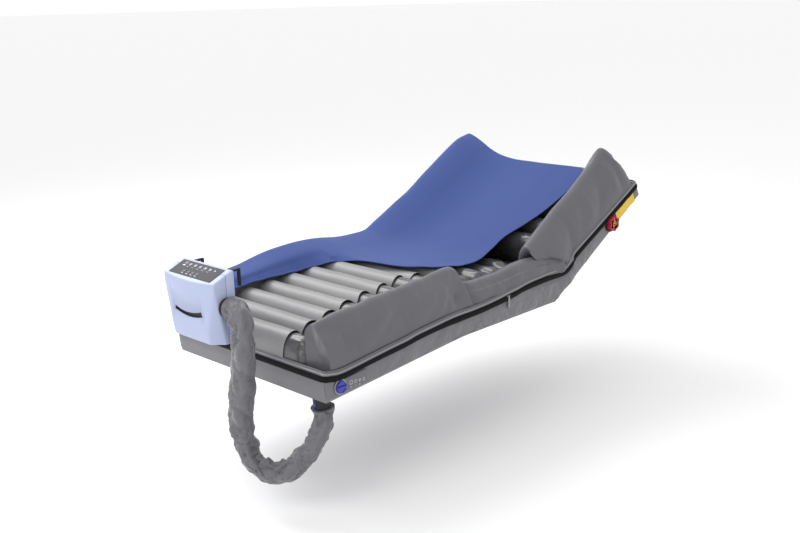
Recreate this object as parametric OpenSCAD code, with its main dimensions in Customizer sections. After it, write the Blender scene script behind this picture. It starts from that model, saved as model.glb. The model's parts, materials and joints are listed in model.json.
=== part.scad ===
// Pressure relief mattress with its hung pump and sleeved hose.
// +X runs from the foot end to the head end, +Y to the far side, +Z up.
// The origin is the middle of the seat section's underside.

/* [Mattress] */
// Width of the base tray
mattress_w = 890; // [760:5:1070]
// Length of the calf section, from the foot end to the knee
calf_l = 745; // [640:5:900]
// Length of the seat section, from the knee to the hip
seat_l = 580; // [480:5:700]
// Length of the back section, from the hip to the head end
back_l = 720; // [600:5:870]
// Angle that the back section is raised by
back_angle = 30; // [10:1:45]
// Angle that the calf section slopes down by
calf_angle = 4.5; // [1:0.5:10]

/* [Base tray] */
// Height of the tray wall, where the zip runs
tray_h = 105; // [85:1:130]
// Thickness of the padded tray floor
floor_t = 8; // [5:1:12]
// Thickness of the tray wall
wall_t = 6; // [4:1:9]

/* [Air cells] */
// Number of cells in the calf section
calf_cells = 7; // [7:1:7]
// Number of cells in the seat section
seat_cells = 6; // [6:1:6]
// Number of cells in the back section
back_cells = 7; // [7:1:7]
// Gap between one cell and the next
cell_gap = 3; // [2:0.5:6]
// Top of the calf cells above the underside
calf_cell_top = 205; // [180:1:225]
// Top of the seat cells above the underside
seat_cell_top = 185; // [165:1:190]
// Top of the back cells above the underside
back_cell_top = 220; // [185:1:235]
// Width of the two slack cells at the hip
hip_cell_w = 60; // [40:1:62]
// Top of the two slack cells at the hip
hip_cell_top = 94; // [75:1:96]
// Radius of the gathered tip at each end of a cell
tip_r = 16; // [10:1:20]
// Length of the gathered tip
tip_l = 11; // [6:1:13]

/* [Side bolsters] */
// Width of a bolster across the bed
bolster_w = 105; // [80:1:130]
// Radius of the bolster's top ridge
ridge_r = 22; // [15:1:30]
// Height of the calf bolsters
calf_bolster_h = 270; // [235:1:290]
// Height of the seat bolsters
seat_bolster_h = 200; // [190:1:225]
// Height of the back bolsters
back_bolster_h = 295; // [255:1:320]
// Distance from the foot end to the calf bolsters
bolster_inset = 45; // [10:1:80]

/* [Top cover] */
// Thickness of the stretch cover
cover_t = 4; // [2:0.5:6]
// Gap between the cover and what it lies on
cover_gap = 2; // [1:0.5:4]
// Height that the cover bridges the seat bolster at
cover_seat_h = 240; // [232:1:260]
// Distance from the head end back to the cover's edge
cover_head_margin = 45; // [20:1:80]

/* [Zip] */
// Width of the zip tape
zip_w = 24; // [16:1:32]
// Thickness of the zip tape
zip_t = 3.6; // [2:0.2:5]

/* [Valves] */
// Radius of the blue transport knob
knob_r = 22; // [16:1:26]
// Radius of the red emergency knob
cpr_r = 33; // [24:1:38]
// Height of the valves above the underside
valve_z = 46; // [42:1:54]

/* [Pump] */
// Width of the pump case
pump_w = 305; // [280:1:360]
// Height of the pump case
pump_h = 265; // [240:1:310]
// Depth of the back shell
shell_split = 38; // [36:1:44]
// Depth of the case at its front edge, top
pump_d = 106; // [98:1:120]
// Length of the hose collar
collar_l = 22; // [14:1:22]
// Radius of the hose collar
collar_r = 36; // [30:1:40]
// Thickness of the footboard that the hooks hold
board_t = 22; // [18:1:30]

/* [Hose] */
// Radius of the sleeved hose
hose_r = 43; // [34:1:48]
// Length of the coupling under the tray
coupling_l = 40; // [30:1:40]
// Radius of the coupling
coupling_r = 31; // [24:1:32]

/* [Hidden] */
$fn = 48;

blue_cover = "#5a6fb4";
grey_fabric = "#7c7d85";
light_fabric = "#a9a9ae";
dark_fabric = "#4a4b50";
black_tape = "#242426";
case_blue = "#c3cde6";
panel_grey = "#5d5e66";
knob_blue = "#3b41b0";
knob_red = "#c01f38";
tag_yellow = "#e8c93a";
fit = 0.4;              // running gap between pieces that move on each other
half_w = mattress_w / 2;
hip_x = seat_l / 2;
hip_cut = 30.5;         // half of the full raise, so that the section ends just clear each other
hip_gap = 1;
knee_gap = 1.5;
clear_h = 420;          // taller than any section
bolster_out = half_w - wall_t - 1;
bolster_in = bolster_out - bolster_w;
ridge_y = bolster_in + ridge_r;
cell_half_l = bolster_in - tip_l - 4;
calf_pitch = (calf_l - knee_gap) / calf_cells;
seat_pitch = (seat_l - knee_gap) / seat_cells;
back_pitch = back_l / back_cells;
tip_z = 118;            // height of the gathered tips

// --- Frames of the three sections ---

module at_back() {
    translate([hip_x, 0, 0]) rotate([0, -back_angle, 0]) children();
}

module at_calf() {
    translate([-hip_x, 0, 0]) rotate([0, -calf_angle, 0]) children();
}

// A point of the raised back or of the calf section, as the mattress sees it (X, Z)
function back_point(s, n) = [
    hip_x + s * cos(back_angle) - n * sin(back_angle),
    s * sin(back_angle) + n * cos(back_angle)
];

function calf_point(s, n) = [
    -hip_x + s * cos(calf_angle) - n * sin(calf_angle),
    s * sin(calf_angle) + n * cos(calf_angle)
];

// A shape drawn across the bed (Y, Z), run along X
module along_x(from, to) {
    translate([from, 0, 0]) rotate([90, 0, 90]) linear_extrude(to - from) children();
}

// A shape drawn from the side (X, Z), run along Y
module along_y(from, to) {
    translate([0, to, 0]) rotate([90, 0, 0]) linear_extrude(to - from) children();
}

function arc(centre, r, from, to, steps) = [
    for (i = [0:steps]) let (a = from + (to - from) * i / steps) centre + r * [cos(a), sin(a)]
];

// --- The side view that each section's pieces stay inside ---

module seat_region() {
    polygon([
        [-hip_x + knee_gap, 0], [hip_x - hip_gap, 0],
        [hip_x - hip_gap - clear_h * tan(hip_cut), clear_h], [-hip_x + knee_gap, clear_h]
    ]);
}

module back_region(length = back_l) {
    polygon([
        [hip_gap, 0], [length, 0], [length, clear_h], [hip_gap + clear_h * tan(hip_cut), clear_h]
    ]);
}

// --- Base tray ---

module tray_profile() {
    difference() {
        translate([-half_w, 0]) square([mattress_w, tray_h]);
        translate([-half_w + wall_t, floor_t]) square([mattress_w - 2 * wall_t, tray_h]);
    }
}

module end_wall(x) {
    translate([x, -half_w + wall_t, floor_t])
        cube([wall_t, mattress_w - 2 * wall_t, tray_h - floor_t]);
}

module seat_base() {
    color(grey_fabric) intersection() {
        along_x(-hip_x, hip_x) tray_profile();
        along_y(-half_w, half_w) seat_region();
    }
}

module calf_base() {
    color(grey_fabric) at_calf() {
        along_x(-calf_l, -knee_gap) tray_profile();
        end_wall(-calf_l);
    }
}

module back_base() {
    color(grey_fabric) at_back() {
        intersection() {
            along_x(0, back_l) tray_profile();
            along_y(-half_w, half_w) back_region();
        }
        end_wall(back_l - wall_t);
    }
}

// --- Air cells ---

module cell_profile(w, top) {
    r = w / 2;
    bottom = floor_t + 0.5;
    translate([-r, bottom + r]) square([w, top - bottom - w]);
    translate([0, bottom + r]) circle(r);
    translate([0, top - r]) circle(r);
}

module cell(x, w, top) {
    translate([x, 0, 0]) {
        along_y(-cell_half_l, cell_half_l) cell_profile(w, top);
        for (side = [-1, 1])
            translate([0, side * (cell_half_l + tip_l / 2), min(tip_z, top / 2)])
                rotate([90, 0, 0]) cylinder(h = tip_l, r = tip_r, center = true);
    }
}

module calf_cell(i) {
    color(light_fabric) at_calf() translate([-calf_l, 0, 0])
        cell((i - 0.5) * calf_pitch + (i == 1 ? wall_t / 2 : 0),
             calf_pitch - cell_gap - (i == 1 ? wall_t : 0), calf_cell_top);
}

// The cell beside the hip is slack, and lower than the others
module seat_cell(i) {
    slack = i == seat_cells;
    color(light_fabric)
        cell(-hip_x + knee_gap + (i - 0.5) * seat_pitch, slack ? hip_cell_w : seat_pitch - cell_gap,
             slack ? hip_cell_top : seat_cell_top);
}

module back_cell(i) {
    slack = i == 1;
    last = i == back_cells;
    color(light_fabric) at_back()
        cell((i - 0.5) * back_pitch - (last ? wall_t / 2 : 0),
             slack ? hip_cell_w : back_pitch - cell_gap - (last ? wall_t : 0),
             slack ? hip_cell_top : back_cell_top);
}

// --- Side bolsters: a wall that leans in from the zip to a rounded ridge ---

// Angle of the leaning face's normal, where it meets the ridge's arc
function lean(h, r) =
    let (d = [ridge_y - bolster_out, h - ridge_r - tray_h])
    atan2(d[1], d[0]) - acos(-r / norm(d));

module bolster_profile(h) {
    polygon(concat(
        [[bolster_in, floor_t + 0.5], [bolster_out, floor_t + 0.5], [bolster_out, tray_h]],
        arc([ridge_y, h - ridge_r], ridge_r, lean(h, ridge_r), 180, 8)
    ));
}

module bolster(side, from, to, h) {
    along_x(from, to) scale_side(side) bolster_profile(h);
}

module scale_side(side) {
    if (side > 0) children();
    else mirror([1, 0]) children();
}

module calf_bolster(side) {
    color(grey_fabric) at_calf()
        bolster(side, -calf_l + bolster_inset, -knee_gap, calf_bolster_h);
}

module seat_bolster(side) {
    color(grey_fabric) intersection() {
        bolster(side, -hip_x, hip_x, seat_bolster_h);
        along_y(-half_w, half_w) seat_region();
    }
}

module back_bolster(side) {
    color(grey_fabric) at_back() intersection() {
        bolster(side, 0, back_l, back_bolster_h);
        along_y(-half_w, half_w) back_region(back_l - wall_t - 0.5);
    }
}

// Slack wedges of cover fabric that fill the fold at the hip
module hip_gussets() {
    h = seat_bolster_h - 4;
    side_gap = 2;
    low = 14;
    top = back_point(hip_gap + h * tan(hip_cut) - side_gap, h);
    bottom = back_point(hip_gap + low * tan(hip_cut) - side_gap, low);
    color(grey_fabric) for (side = [-1, 1]) intersection() {
        along_y(-half_w, half_w) polygon([
            [hip_x - hip_gap - low * tan(hip_cut) + side_gap, low], bottom, top,
            [hip_x - hip_gap - h * tan(hip_cut) + side_gap, h]
        ]);
        along_x(0, seat_l) scale_side(side) bolster_profile(seat_bolster_h + 30);
    }
}

// --- Top cover: over the cells and the far bolster, down to the far zip, open on the near side ---

cover_steps = 8;

function cover_line(ridge_h, low_z, near_y, gap) =
    let (r = ridge_r + gap, centre = [ridge_y, ridge_h - ridge_r], a = lean(ridge_h, ridge_r),
         foot_z = tray_h + zip_w / 2 + 1)
    concat(
        [[bolster_out + gap * cos(a) - (foot_z - tray_h) * tan(a), foot_z + gap * sin(a)]],
        arc(centre, r, a, 140, cover_steps),
        [[bolster_in - 30, low_z + gap], [near_y, low_z + gap]]
    );

function cover_points(ridge_h, low_z, near_y) = concat(
    cover_line(ridge_h, low_z, near_y, cover_gap),
    [for (i = [cover_steps + 3:-1:0]) cover_line(ridge_h, low_z, near_y, cover_gap + cover_t)[i]]
);

module cover_profile(ridge_h, low_z) {
    polygon(cover_points(ridge_h, low_z, -half_w + 20));
}

seat_cover_end = -20;    // where the cover leaves the seat cells
back_cover_start = 186;  // where it meets the back cells
seat_near_y = -290;      // its near edge at those two places
back_near_y = -236;
cover_far_y = half_w + 20;

// What is left of the cover when its loose near edge is drawn from above
module plan_cut(points) {
    translate([0, 0, -10]) linear_extrude(clear_h) polygon(points);
}

module calf_cover() {
    color(blue_cover) at_calf() intersection() {
        along_x(-calf_l + 4, -knee_gap) cover_profile(calf_bolster_h, calf_cell_top);
        plan_cut([[-calf_l, 200], [-120, 160], [0, 50], [0, cover_far_y], [-calf_l, cover_far_y]]);
    }
}

module seat_cover() {
    color(blue_cover) intersection() {
        along_x(-hip_x + 18, seat_cover_end) cover_profile(cover_seat_h, seat_cell_top);
        plan_cut([
            [-hip_x, 20], [-hip_x + 130, -240], [seat_cover_end, seat_near_y],
            [seat_cover_end, cover_far_y], [-hip_x, cover_far_y]
        ]);
    }
}

// The stretch that hangs like a hammock across the hip
module hip_cover() {
    gap = 1;
    from = cover_points(cover_seat_h, seat_cell_top, seat_near_y);
    to = cover_points(back_bolster_h, back_cell_top, back_near_y);
    n = len(from);
    end_faces = [for (i = [0:n / 2 - 2]) each [[i, i + 1, n - 2 - i], [i, n - 2 - i, n - 1 - i]]];
    color(blue_cover) polyhedron(
        points = concat(
            [for (p = from) [seat_cover_end + gap, p[0], p[1]]],
            [for (p = to) let (b = back_point(back_cover_start - gap, p[1])) [b[0], p[0], b[1]]]
        ),
        faces = concat(
            [for (f = end_faces) [f[2], f[1], f[0]]],
            [for (f = end_faces) [for (v = f) n + v]],
            [for (i = [0:n - 1]) let (next = (i + 1) % n) each i < n / 2
                ? [[i, next, n + next], [i, n + next, n + i]]
                : [[i, next, n + i], [next, n + next, n + i]]]
        )
    );
}

module back_cover() {
    end = back_l - cover_head_margin;
    color(blue_cover) at_back() intersection() {
        along_x(back_cover_start, end) cover_profile(back_bolster_h, back_cell_top);
        plan_cut([
            [back_cover_start, back_near_y], [end, -305], [end, cover_far_y], [back_cover_start, cover_far_y]
        ]);
    }
}

// --- Zip tape on the outside of the tray wall ---

module zip_profile() {
    for (side = [-1, 1])
        translate([side > 0 ? half_w : -half_w - zip_t, tray_h - zip_w / 2]) square([zip_t, zip_w]);
}

module end_tape(x) {
    translate([x, -half_w - zip_t, tray_h - zip_w / 2]) cube([zip_t, mattress_w + 2 * zip_t, zip_w]);
}

module calf_zip() {
    color(black_tape) at_calf() {
        along_x(-calf_l, -knee_gap) zip_profile();
        end_tape(-calf_l - zip_t);
    }
}

module seat_zip() {
    color(black_tape) intersection() {
        along_x(-hip_x, hip_x) zip_profile();
        along_y(-half_w - zip_t, half_w + zip_t) seat_region();
    }
}

module back_zip() {
    color(black_tape) at_back() {
        intersection() {
            along_x(0, back_l) zip_profile();
            along_y(-half_w - zip_t, half_w + zip_t) back_region();
        }
        end_tape(back_l);
    }
}

module zip_slider() {
    y = -half_w - zip_t - fit;
    color("dimgray") {
        translate([-60, y - 5, tray_h - 6]) cube([20, 5, 12]);
        translate([-54, y - 8, tray_h - 4]) cube([8, 3, 8]);
        translate([-55, y - 8, tray_h - 44]) cube([10, 3, 40]);
    }
}

// --- Valves on the near wall of the tray ---

module on_wall(x, z) {
    translate([x, -half_w, z]) rotate([90, 0, 0]) children();
}

knob_x = -calf_l + 64;
plate_t = 2.5;
stem_r = 6;

module knob_plate() {
    color("whitesmoke") at_calf() on_wall(knob_x, valve_z) difference() {
        union() {
            cylinder(h = plate_t, r = knob_r + 8);
            translate([knob_r, -20, 0]) cube([104, 42, plate_t]);
        }
        translate([0, 0, -1]) cylinder(h = plate_t + 2, r = stem_r + fit / 2);
    }
}

module transport_knob() {
    color(knob_blue) at_calf() on_wall(knob_x, valve_z) {
        translate([0, 0, 0.2]) cylinder(h = plate_t + fit, r = stem_r);
        translate([0, 0, plate_t + fit]) cylinder(h = 9, r = knob_r);
        translate([-knob_r + 3, -4, plate_t + fit + 9]) cube([2 * knob_r - 6, 8, 5]);
    }
}

cpr_x = back_l - 245;
bezel_t = 4;

module cpr_bezel() {
    color(dark_fabric) at_back() on_wall(cpr_x, valve_z) difference() {
        cylinder(h = bezel_t, r = cpr_r + 7);
        translate([0, 0, -1]) cylinder(h = bezel_t + 2, r = stem_r + fit / 2);
    }
}

module cpr_knob() {
    lobes = 6;
    color(knob_red) at_back() on_wall(cpr_x, valve_z) {
        translate([0, 0, 0.2]) cylinder(h = bezel_t + fit, r = stem_r);
        translate([0, 0, bezel_t + fit]) difference() {
            cylinder(h = 22, r = cpr_r);
            for (i = [0:lobes - 1])
                rotate([0, 0, (i + 0.5) * 360 / lobes]) translate([cpr_r + 5, 0, -1]) cylinder(h = 24, r = 9);
        }
    }
}

module cpr_strap() {
    color(tag_yellow) at_back() on_wall(cpr_x + cpr_r + 12, valve_z) translate([0, -16, 0]) cube([150, 42, 1.6]);
}

// --- Pump, hung outside the footboard ---

foot_gap = 110;         // from the foot end to the pump's back, where the footboard stands
pump_at = [-hip_x - calf_l - foot_gap, 46, 130];
case_wall = 7;
back_lip = 12;
top_drop = 37;
top_slope = atan(top_drop / (pump_d - 6 - back_lip));
collar_x = -42;
collar_z = 138;

module at_pump() {
    translate(pump_at) children();
}

module rounded_square(w, h, r) {
    translate([-w / 2 + r, 0]) square([w - 2 * r, h]);
    translate([-w / 2, r]) square([w, h - 2 * r]);
    for (side = [-1, 1], z = [r, h - r]) translate([side * (w / 2 - r), z]) circle(r);
}

// Sloping top, and a front that draws in toward the bottom
module case_side() {
    polygon([
        [0, 0], [0, pump_h], [-back_lip, pump_h], [-pump_d + 6, pump_h - top_drop],
        [-pump_d, pump_h - top_drop - 12], [-pump_d + 3, pump_h * 0.6], [-pump_d + 18, pump_h * 0.28],
        [-pump_d + 40, 12], [-pump_d + 48, 0]
    ]);
}

module case_block() {
    bow_r = 560;
    difference() {
        intersection() {
            along_y(-pump_w / 2, pump_w / 2) case_side();
            along_x(-pump_d, 0) rounded_square(pump_w, pump_h, 18);
            translate([bow_r - pump_d, 0, 0]) cylinder(h = pump_h, r = bow_r, $fn = 96);
        }
        translate([-pump_d + 40, -pump_w / 2 + case_wall, case_wall])
            cube([pump_d - 40 - case_wall, pump_w - 2 * case_wall, pump_h - top_drop - 14]);
    }
}

inlet_x = -shell_split + 6;
inlet_z = 28;
switch_z = 72;
inlet_w = 24;
inlet_h = 30;

module pump_back() {
    color(case_blue) at_pump() {
        difference() {
            intersection() {
                case_block();
                translate([-shell_split, -pump_w, -1]) cube([shell_split + 1, 2 * pump_w, pump_h + 2]);
            }
            translate([inlet_x, pump_w / 2 - case_wall - 1, inlet_z]) cube([inlet_w, case_wall + 2, inlet_h]);
            translate([inlet_x, pump_w / 2 - case_wall - 1, switch_z]) cube([inlet_w, case_wall + 2, inlet_h]);
        }
        for (side = [-1, 1]) hook_lugs(side);
    }
}

module pump_front() {
    slot_w = 180;
    color(case_blue) at_pump() difference() {
        intersection() {
            case_block();
            translate([-pump_d - 1, -pump_w, -1]) cube([pump_d - shell_split + 1, 2 * pump_w, pump_h + 2]);
        }
        // Shallow curved grip across the front
        along_x(-pump_d - 1, -pump_d + 22) intersection() {
            translate([-slot_w / 2, 60]) square([slot_w, 60]);
            difference() {
                translate([0, 60 + 260]) circle(r = 250, $fn = 96);
                translate([0, 110 + 320]) circle(r = 330, $fn = 96);
            }
        }
    }
}

module at_panel() {
    at_pump() translate([-back_lip, 0, pump_h]) rotate([0, -top_slope, 0]) children();
}

panel_t = 2;
button_r = 7;
button_x = -62;
button_pitch = 26;

module pump_panel() {
    color(panel_grey) at_panel() difference() {
        translate([-82, -124, 0]) cube([76, 248, panel_t]);
        for (i = [0:3])
            translate([button_x, (i - 1) * button_pitch, -1]) cylinder(h = panel_t + 2, r = button_r + fit);
    }
}

module pump_button(i) {
    color("silver") at_panel() translate([button_x, (i - 2) * button_pitch, 1]) cylinder(h = 2, r = button_r);
}

module pump_collar() {
    color(dark_fabric) at_pump() translate([collar_x, -pump_w / 2, collar_z]) rotate([90, 0, 0]) {
        cylinder(h = collar_l * 0.4, r = collar_r);
        cylinder(h = collar_l, r = collar_r - 5);
    }
}

module pump_inlet() {
    y = pump_w / 2;
    color(dark_fabric) at_pump() {
        difference() {
            union() {
                translate([inlet_x + 0.2, y - 22, inlet_z + 0.2]) cube([inlet_w - 0.4, 22, inlet_h - 0.4]);
                translate([inlet_x - 2, y, inlet_z - 3]) cube([inlet_w + 4, 2, inlet_h + 5]);
            }
            translate([inlet_x + 5, y - 15, inlet_z + 5]) cube([inlet_w - 10, 20, inlet_h - 10]);
        }
        for (z = [8, 14, 20]) translate([inlet_x + inlet_w / 2 - 2, y - 16, inlet_z + z]) cube([4, 8, 1.6]);
        // Bezel round the rocker
        difference() {
            translate([inlet_x - 2, y, switch_z - 2]) cube([inlet_w + 4, 2, inlet_h + 4]);
            translate([inlet_x + 4.5, y - 1, switch_z + 5]) cube([inlet_w - 9, 4, inlet_h - 10]);
        }
    }
}

rocker_y = pump_w / 2 - 6;
rocker_z = switch_z + inlet_h / 2;

module pump_switch() {
    length = inlet_w - 10;
    color("black") at_pump() translate([inlet_x + inlet_w / 2, rocker_y, rocker_z]) rotate([0, 90, 0])
        difference() {
            cylinder(h = length, r = 11, center = true);
            for (side = [-1, 1])
                rotate([0, 0, side * 14]) translate([side > 0 ? 0 : -20, 9, -length]) cube([20, 20, 2 * length]);
            translate([-20, -20, -length]) cube([40, 15, 2 * length]);
        }
}

module pump_feet() {
    color("black") at_pump() for (x = [-14, -42], y = [-110, 110])
        translate([x, y, -6]) cylinder(h = 6, r = 9);
}

module compressor() {
    color("gray") at_pump() {
        translate([-pump_d + 44, -70, case_wall]) cube([48, 140, 80]);
        translate([-pump_d + 68, 0, case_wall + 80]) cylinder(h = 50, r = 22);
    }
}

// --- Hooks over the footboard, folding sideways on upright pins ---

hook_x = 9;
hook_y = 110;
hook_w = 12;
barrel_r = 6.5;
lug_z = [190, 232];
lug_h = 8;
pin_r = 3;

module hook_lugs(side) {
    translate([0, side * hook_y, 0]) {
        for (z = lug_z) {
            translate([hook_x, 0, z]) cylinder(h = lug_h, r = barrel_r);
            translate([0, -barrel_r, z]) cube([hook_x, 2 * barrel_r, lug_h]);
        }
        translate([hook_x, 0, lug_z[0]]) cylinder(h = lug_z[1] - lug_z[0] + lug_h, r = pin_r);
    }
}

module hook(side) {
    shank_x = hook_x + barrel_r + 1;
    bar = 8;
    leg_x = shank_x + bar + board_t;
    arm_z = 248;
    low_z = lug_z[0] + lug_h + fit;
    color(dark_fabric) at_pump() translate([0, side * hook_y, 0]) difference() {
        union() {
            translate([hook_x, 0, low_z]) cylinder(h = lug_z[1] - fit - low_z, r = barrel_r);
            translate([hook_x, -hook_w / 2, low_z]) cube([barrel_r + 2, hook_w, lug_z[1] - fit - low_z]);
            along_y(-hook_w / 2, hook_w / 2) {
                translate([shank_x, low_z]) square([bar, arm_z - low_z]);
                translate([shank_x, arm_z]) square([2 * bar + board_t, bar]);
                translate([leg_x, 190]) square([bar, arm_z - 190]);
            }
        }
        translate([hook_x, 0, low_z - 1]) cylinder(h = 60, r = pin_r + 0.05);
    }
}

// --- Hose: from the pump's collar, down in a loop, and up to the coupling under the calf tray ---

hose_gap = 1;
collar_end = pump_at + [collar_x, -pump_w / 2 - collar_l - hose_gap, collar_z];
hose_down = [
    [0, 0, 0], [0, -21, 0], [-3, -43, -6], [-6, -63, -20], [-10, -77, -42], [-14, -85, -70], [-17, -87, -102],
    [-19, -85, -136], [-20, -81, -172], [-20, -75, -210], [-20, -68, -250], [-20, -60, -292],
    [-20, -52, -336], [-20, -46, -380], [-20, -44, -426], [-19, -49, -470], [-17, -61, -510],
    [-13, -82, -545], [-5, -111, -570], [8, -142, -582]
];
port_x = -calf_l + 33;
port_y = -half_w + 75;
port_below = calf_point(port_x, -coupling_l - hose_gap);
port_end = [port_below[0], port_y, port_below[1]];
hose_up = [
    [-164, 69, -217], [-142, 42, -207], [-119, 20, -189], [-96, 3, -166], [-74, -9, -140], [-54, -16, -111],
    [-37, -17, -85], [-20, -13, -61], [-6, -6, -39], [1.6, 0, -20], [0, 0, 0]
];
hose_route = concat([for (p = hose_down) collar_end + p], [for (p = hose_up) port_end + p]);
hose_sides = 12;

function unit(v) = v / norm(v);
function heading(i) = unit(hose_route[min(i + 1, len(hose_route) - 1)] - hose_route[max(i - 1, 0)]);
function ring(i, r) =
    let (t = heading(i), u = unit(cross(t, [1, 0.1, 0.05])), v = cross(t, u))
    [for (k = [0:hose_sides - 1]) let (a = k * 360 / hose_sides) hose_route[i] + r * (cos(a) * u + sin(a) * v)];

module hose_sleeve() {
    n = len(hose_route);
    color(grey_fabric) polyhedron(
        points = [for (i = [0:n - 1]) each ring(i, hose_r)],
        faces = concat(
            [[for (k = [hose_sides - 1:-1:0]) k], [for (k = [0:hose_sides - 1]) (n - 1) * hose_sides + k]],
            [for (i = [0:n - 2], k = [0:hose_sides - 1]) let (next = (k + 1) % hose_sides)
                [i * hose_sides + k, i * hose_sides + next, (i + 1) * hose_sides + next, (i + 1) * hose_sides + k]]
        )
    );
}

latch_slot = [10, 14];

module at_port() {
    at_calf() translate([port_x, port_y, -coupling_l]) children();
}

module hose_coupling() {
    color(dark_fabric) at_port() difference() {
        cylinder(h = coupling_l, r = coupling_r);
        translate([-coupling_r - 1, -latch_slot[0] / 2, 12]) cube([9, latch_slot[0], latch_slot[1]]);
    }
}

module coupling_latch() {
    color(knob_blue) at_port()
        translate([-coupling_r - 2, -latch_slot[0] / 2 + fit, 12 + fit])
            cube([7, latch_slot[0] - 2 * fit, latch_slot[1] - 2 * fit]);
}

seat_base();
seat_cell(1);  // seat_cell_1
seat_cell(2);  // seat_cell_2
seat_cell(3);  // seat_cell_3
seat_cell(4);  // seat_cell_4
seat_cell(5);  // seat_cell_5
seat_cell(6);  // seat_cell_6
seat_bolster(-1);  // seat_bolster_near
seat_bolster(1);  // seat_bolster_far
seat_zip();
seat_cover();
hip_cover();
hip_gussets();
zip_slider();
calf_base();
calf_cell(1);  // calf_cell_1
calf_cell(2);  // calf_cell_2
calf_cell(3);  // calf_cell_3
calf_cell(4);  // calf_cell_4
calf_cell(5);  // calf_cell_5
calf_cell(6);  // calf_cell_6
calf_cell(7);  // calf_cell_7
calf_bolster(-1);  // calf_bolster_near
calf_bolster(1);  // calf_bolster_far
calf_zip();
calf_cover();
knob_plate();
transport_knob();
back_base();
back_cell(1);  // back_cell_1
back_cell(2);  // back_cell_2
back_cell(3);  // back_cell_3
back_cell(4);  // back_cell_4
back_cell(5);  // back_cell_5
back_cell(6);  // back_cell_6
back_cell(7);  // back_cell_7
back_bolster(-1);  // back_bolster_near
back_bolster(1);  // back_bolster_far
back_zip();
back_cover();
cpr_bezel();
cpr_knob();
cpr_strap();
pump_front();
pump_back();
pump_panel();
pump_button(1);  // pump_button_1
pump_button(2);  // pump_button_2
pump_button(3);  // pump_button_3
pump_button(4);  // pump_button_4
pump_collar();
pump_inlet();
pump_switch();
pump_feet();
compressor();
hook(-1);  // hook_near
hook(1);  // hook_far
hose_sleeve();
hose_coupling();
coupling_latch();
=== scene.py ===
import json
from math import atan, cos, exp, pi, radians, sin

import bmesh
import bpy
import numpy as np
from mathutils import Matrix, Vector, noise

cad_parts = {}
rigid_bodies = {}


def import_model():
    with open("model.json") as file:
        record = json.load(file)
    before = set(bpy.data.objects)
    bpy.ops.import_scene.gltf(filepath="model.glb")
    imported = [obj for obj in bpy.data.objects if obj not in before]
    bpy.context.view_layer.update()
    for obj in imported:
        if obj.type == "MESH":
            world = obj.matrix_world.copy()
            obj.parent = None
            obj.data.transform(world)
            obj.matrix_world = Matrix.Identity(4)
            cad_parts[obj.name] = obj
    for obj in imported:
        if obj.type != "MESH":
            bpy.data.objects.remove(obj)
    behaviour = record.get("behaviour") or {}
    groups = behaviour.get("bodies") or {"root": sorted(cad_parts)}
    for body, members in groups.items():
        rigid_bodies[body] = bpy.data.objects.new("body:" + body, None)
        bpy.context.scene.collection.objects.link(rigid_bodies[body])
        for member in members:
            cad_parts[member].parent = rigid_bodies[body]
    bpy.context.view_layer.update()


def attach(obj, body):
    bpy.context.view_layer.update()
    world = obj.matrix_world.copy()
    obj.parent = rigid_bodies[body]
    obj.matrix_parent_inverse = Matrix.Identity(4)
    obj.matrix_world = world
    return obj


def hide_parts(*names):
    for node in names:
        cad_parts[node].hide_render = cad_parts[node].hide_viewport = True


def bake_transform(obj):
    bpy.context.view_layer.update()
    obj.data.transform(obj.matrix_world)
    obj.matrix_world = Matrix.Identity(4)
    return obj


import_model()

# The room: a wide pale studio floor, two large soft lights and a bright, even surround.
# The mattress keeps the height at which a bed's deck holds it.
FLOOR_Z = -0.475
bpy.ops.object.select_all(action="DESELECT")
camera_data = bpy.data.cameras.new("camera")
camera_data.sensor_width, camera_data.lens = 36, 48.98
camera_data.clip_end = 60
camera = bpy.data.objects.new("camera", camera_data)
bpy.context.collection.objects.link(camera)
bpy.context.scene.camera = camera
bpy.context.scene.view_settings.view_transform = "Standard"
heading, dip, roll = 0.7855, 0.2662, -0.0298
ahead = Vector((cos(heading) * cos(dip), sin(heading) * cos(dip), -sin(dip)))
level = Vector((sin(heading), -cos(heading), 0))
rise = level.cross(ahead)
right = level * cos(roll) + rise * sin(roll)
up = rise * cos(roll) - level * sin(roll)
standpoint = Matrix.Translation((-3.342, -3.129, 1.397))
camera.matrix_world = standpoint @ Matrix((right, up, -ahead)).transposed().to_4x4()


class Value:
    """A number in a material that changes over the surface; sums on it add Math nodes."""

    def __init__(self, tree, socket):
        self.tree, self.socket = tree, socket

    def sum(self, operation, other):
        node = self.tree.nodes.new("ShaderNodeMath")
        node.operation = operation
        for socket, value in zip(node.inputs, (self, other)):
            if isinstance(value, Value):
                self.tree.links.new(value.socket, socket)
            else:
                socket.default_value = value
        return Value(self.tree, node.outputs[0])

    def __add__(self, other):
        return self.sum("ADD", other)

    def __mul__(self, other):
        return self.sum("MULTIPLY", other)


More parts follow.
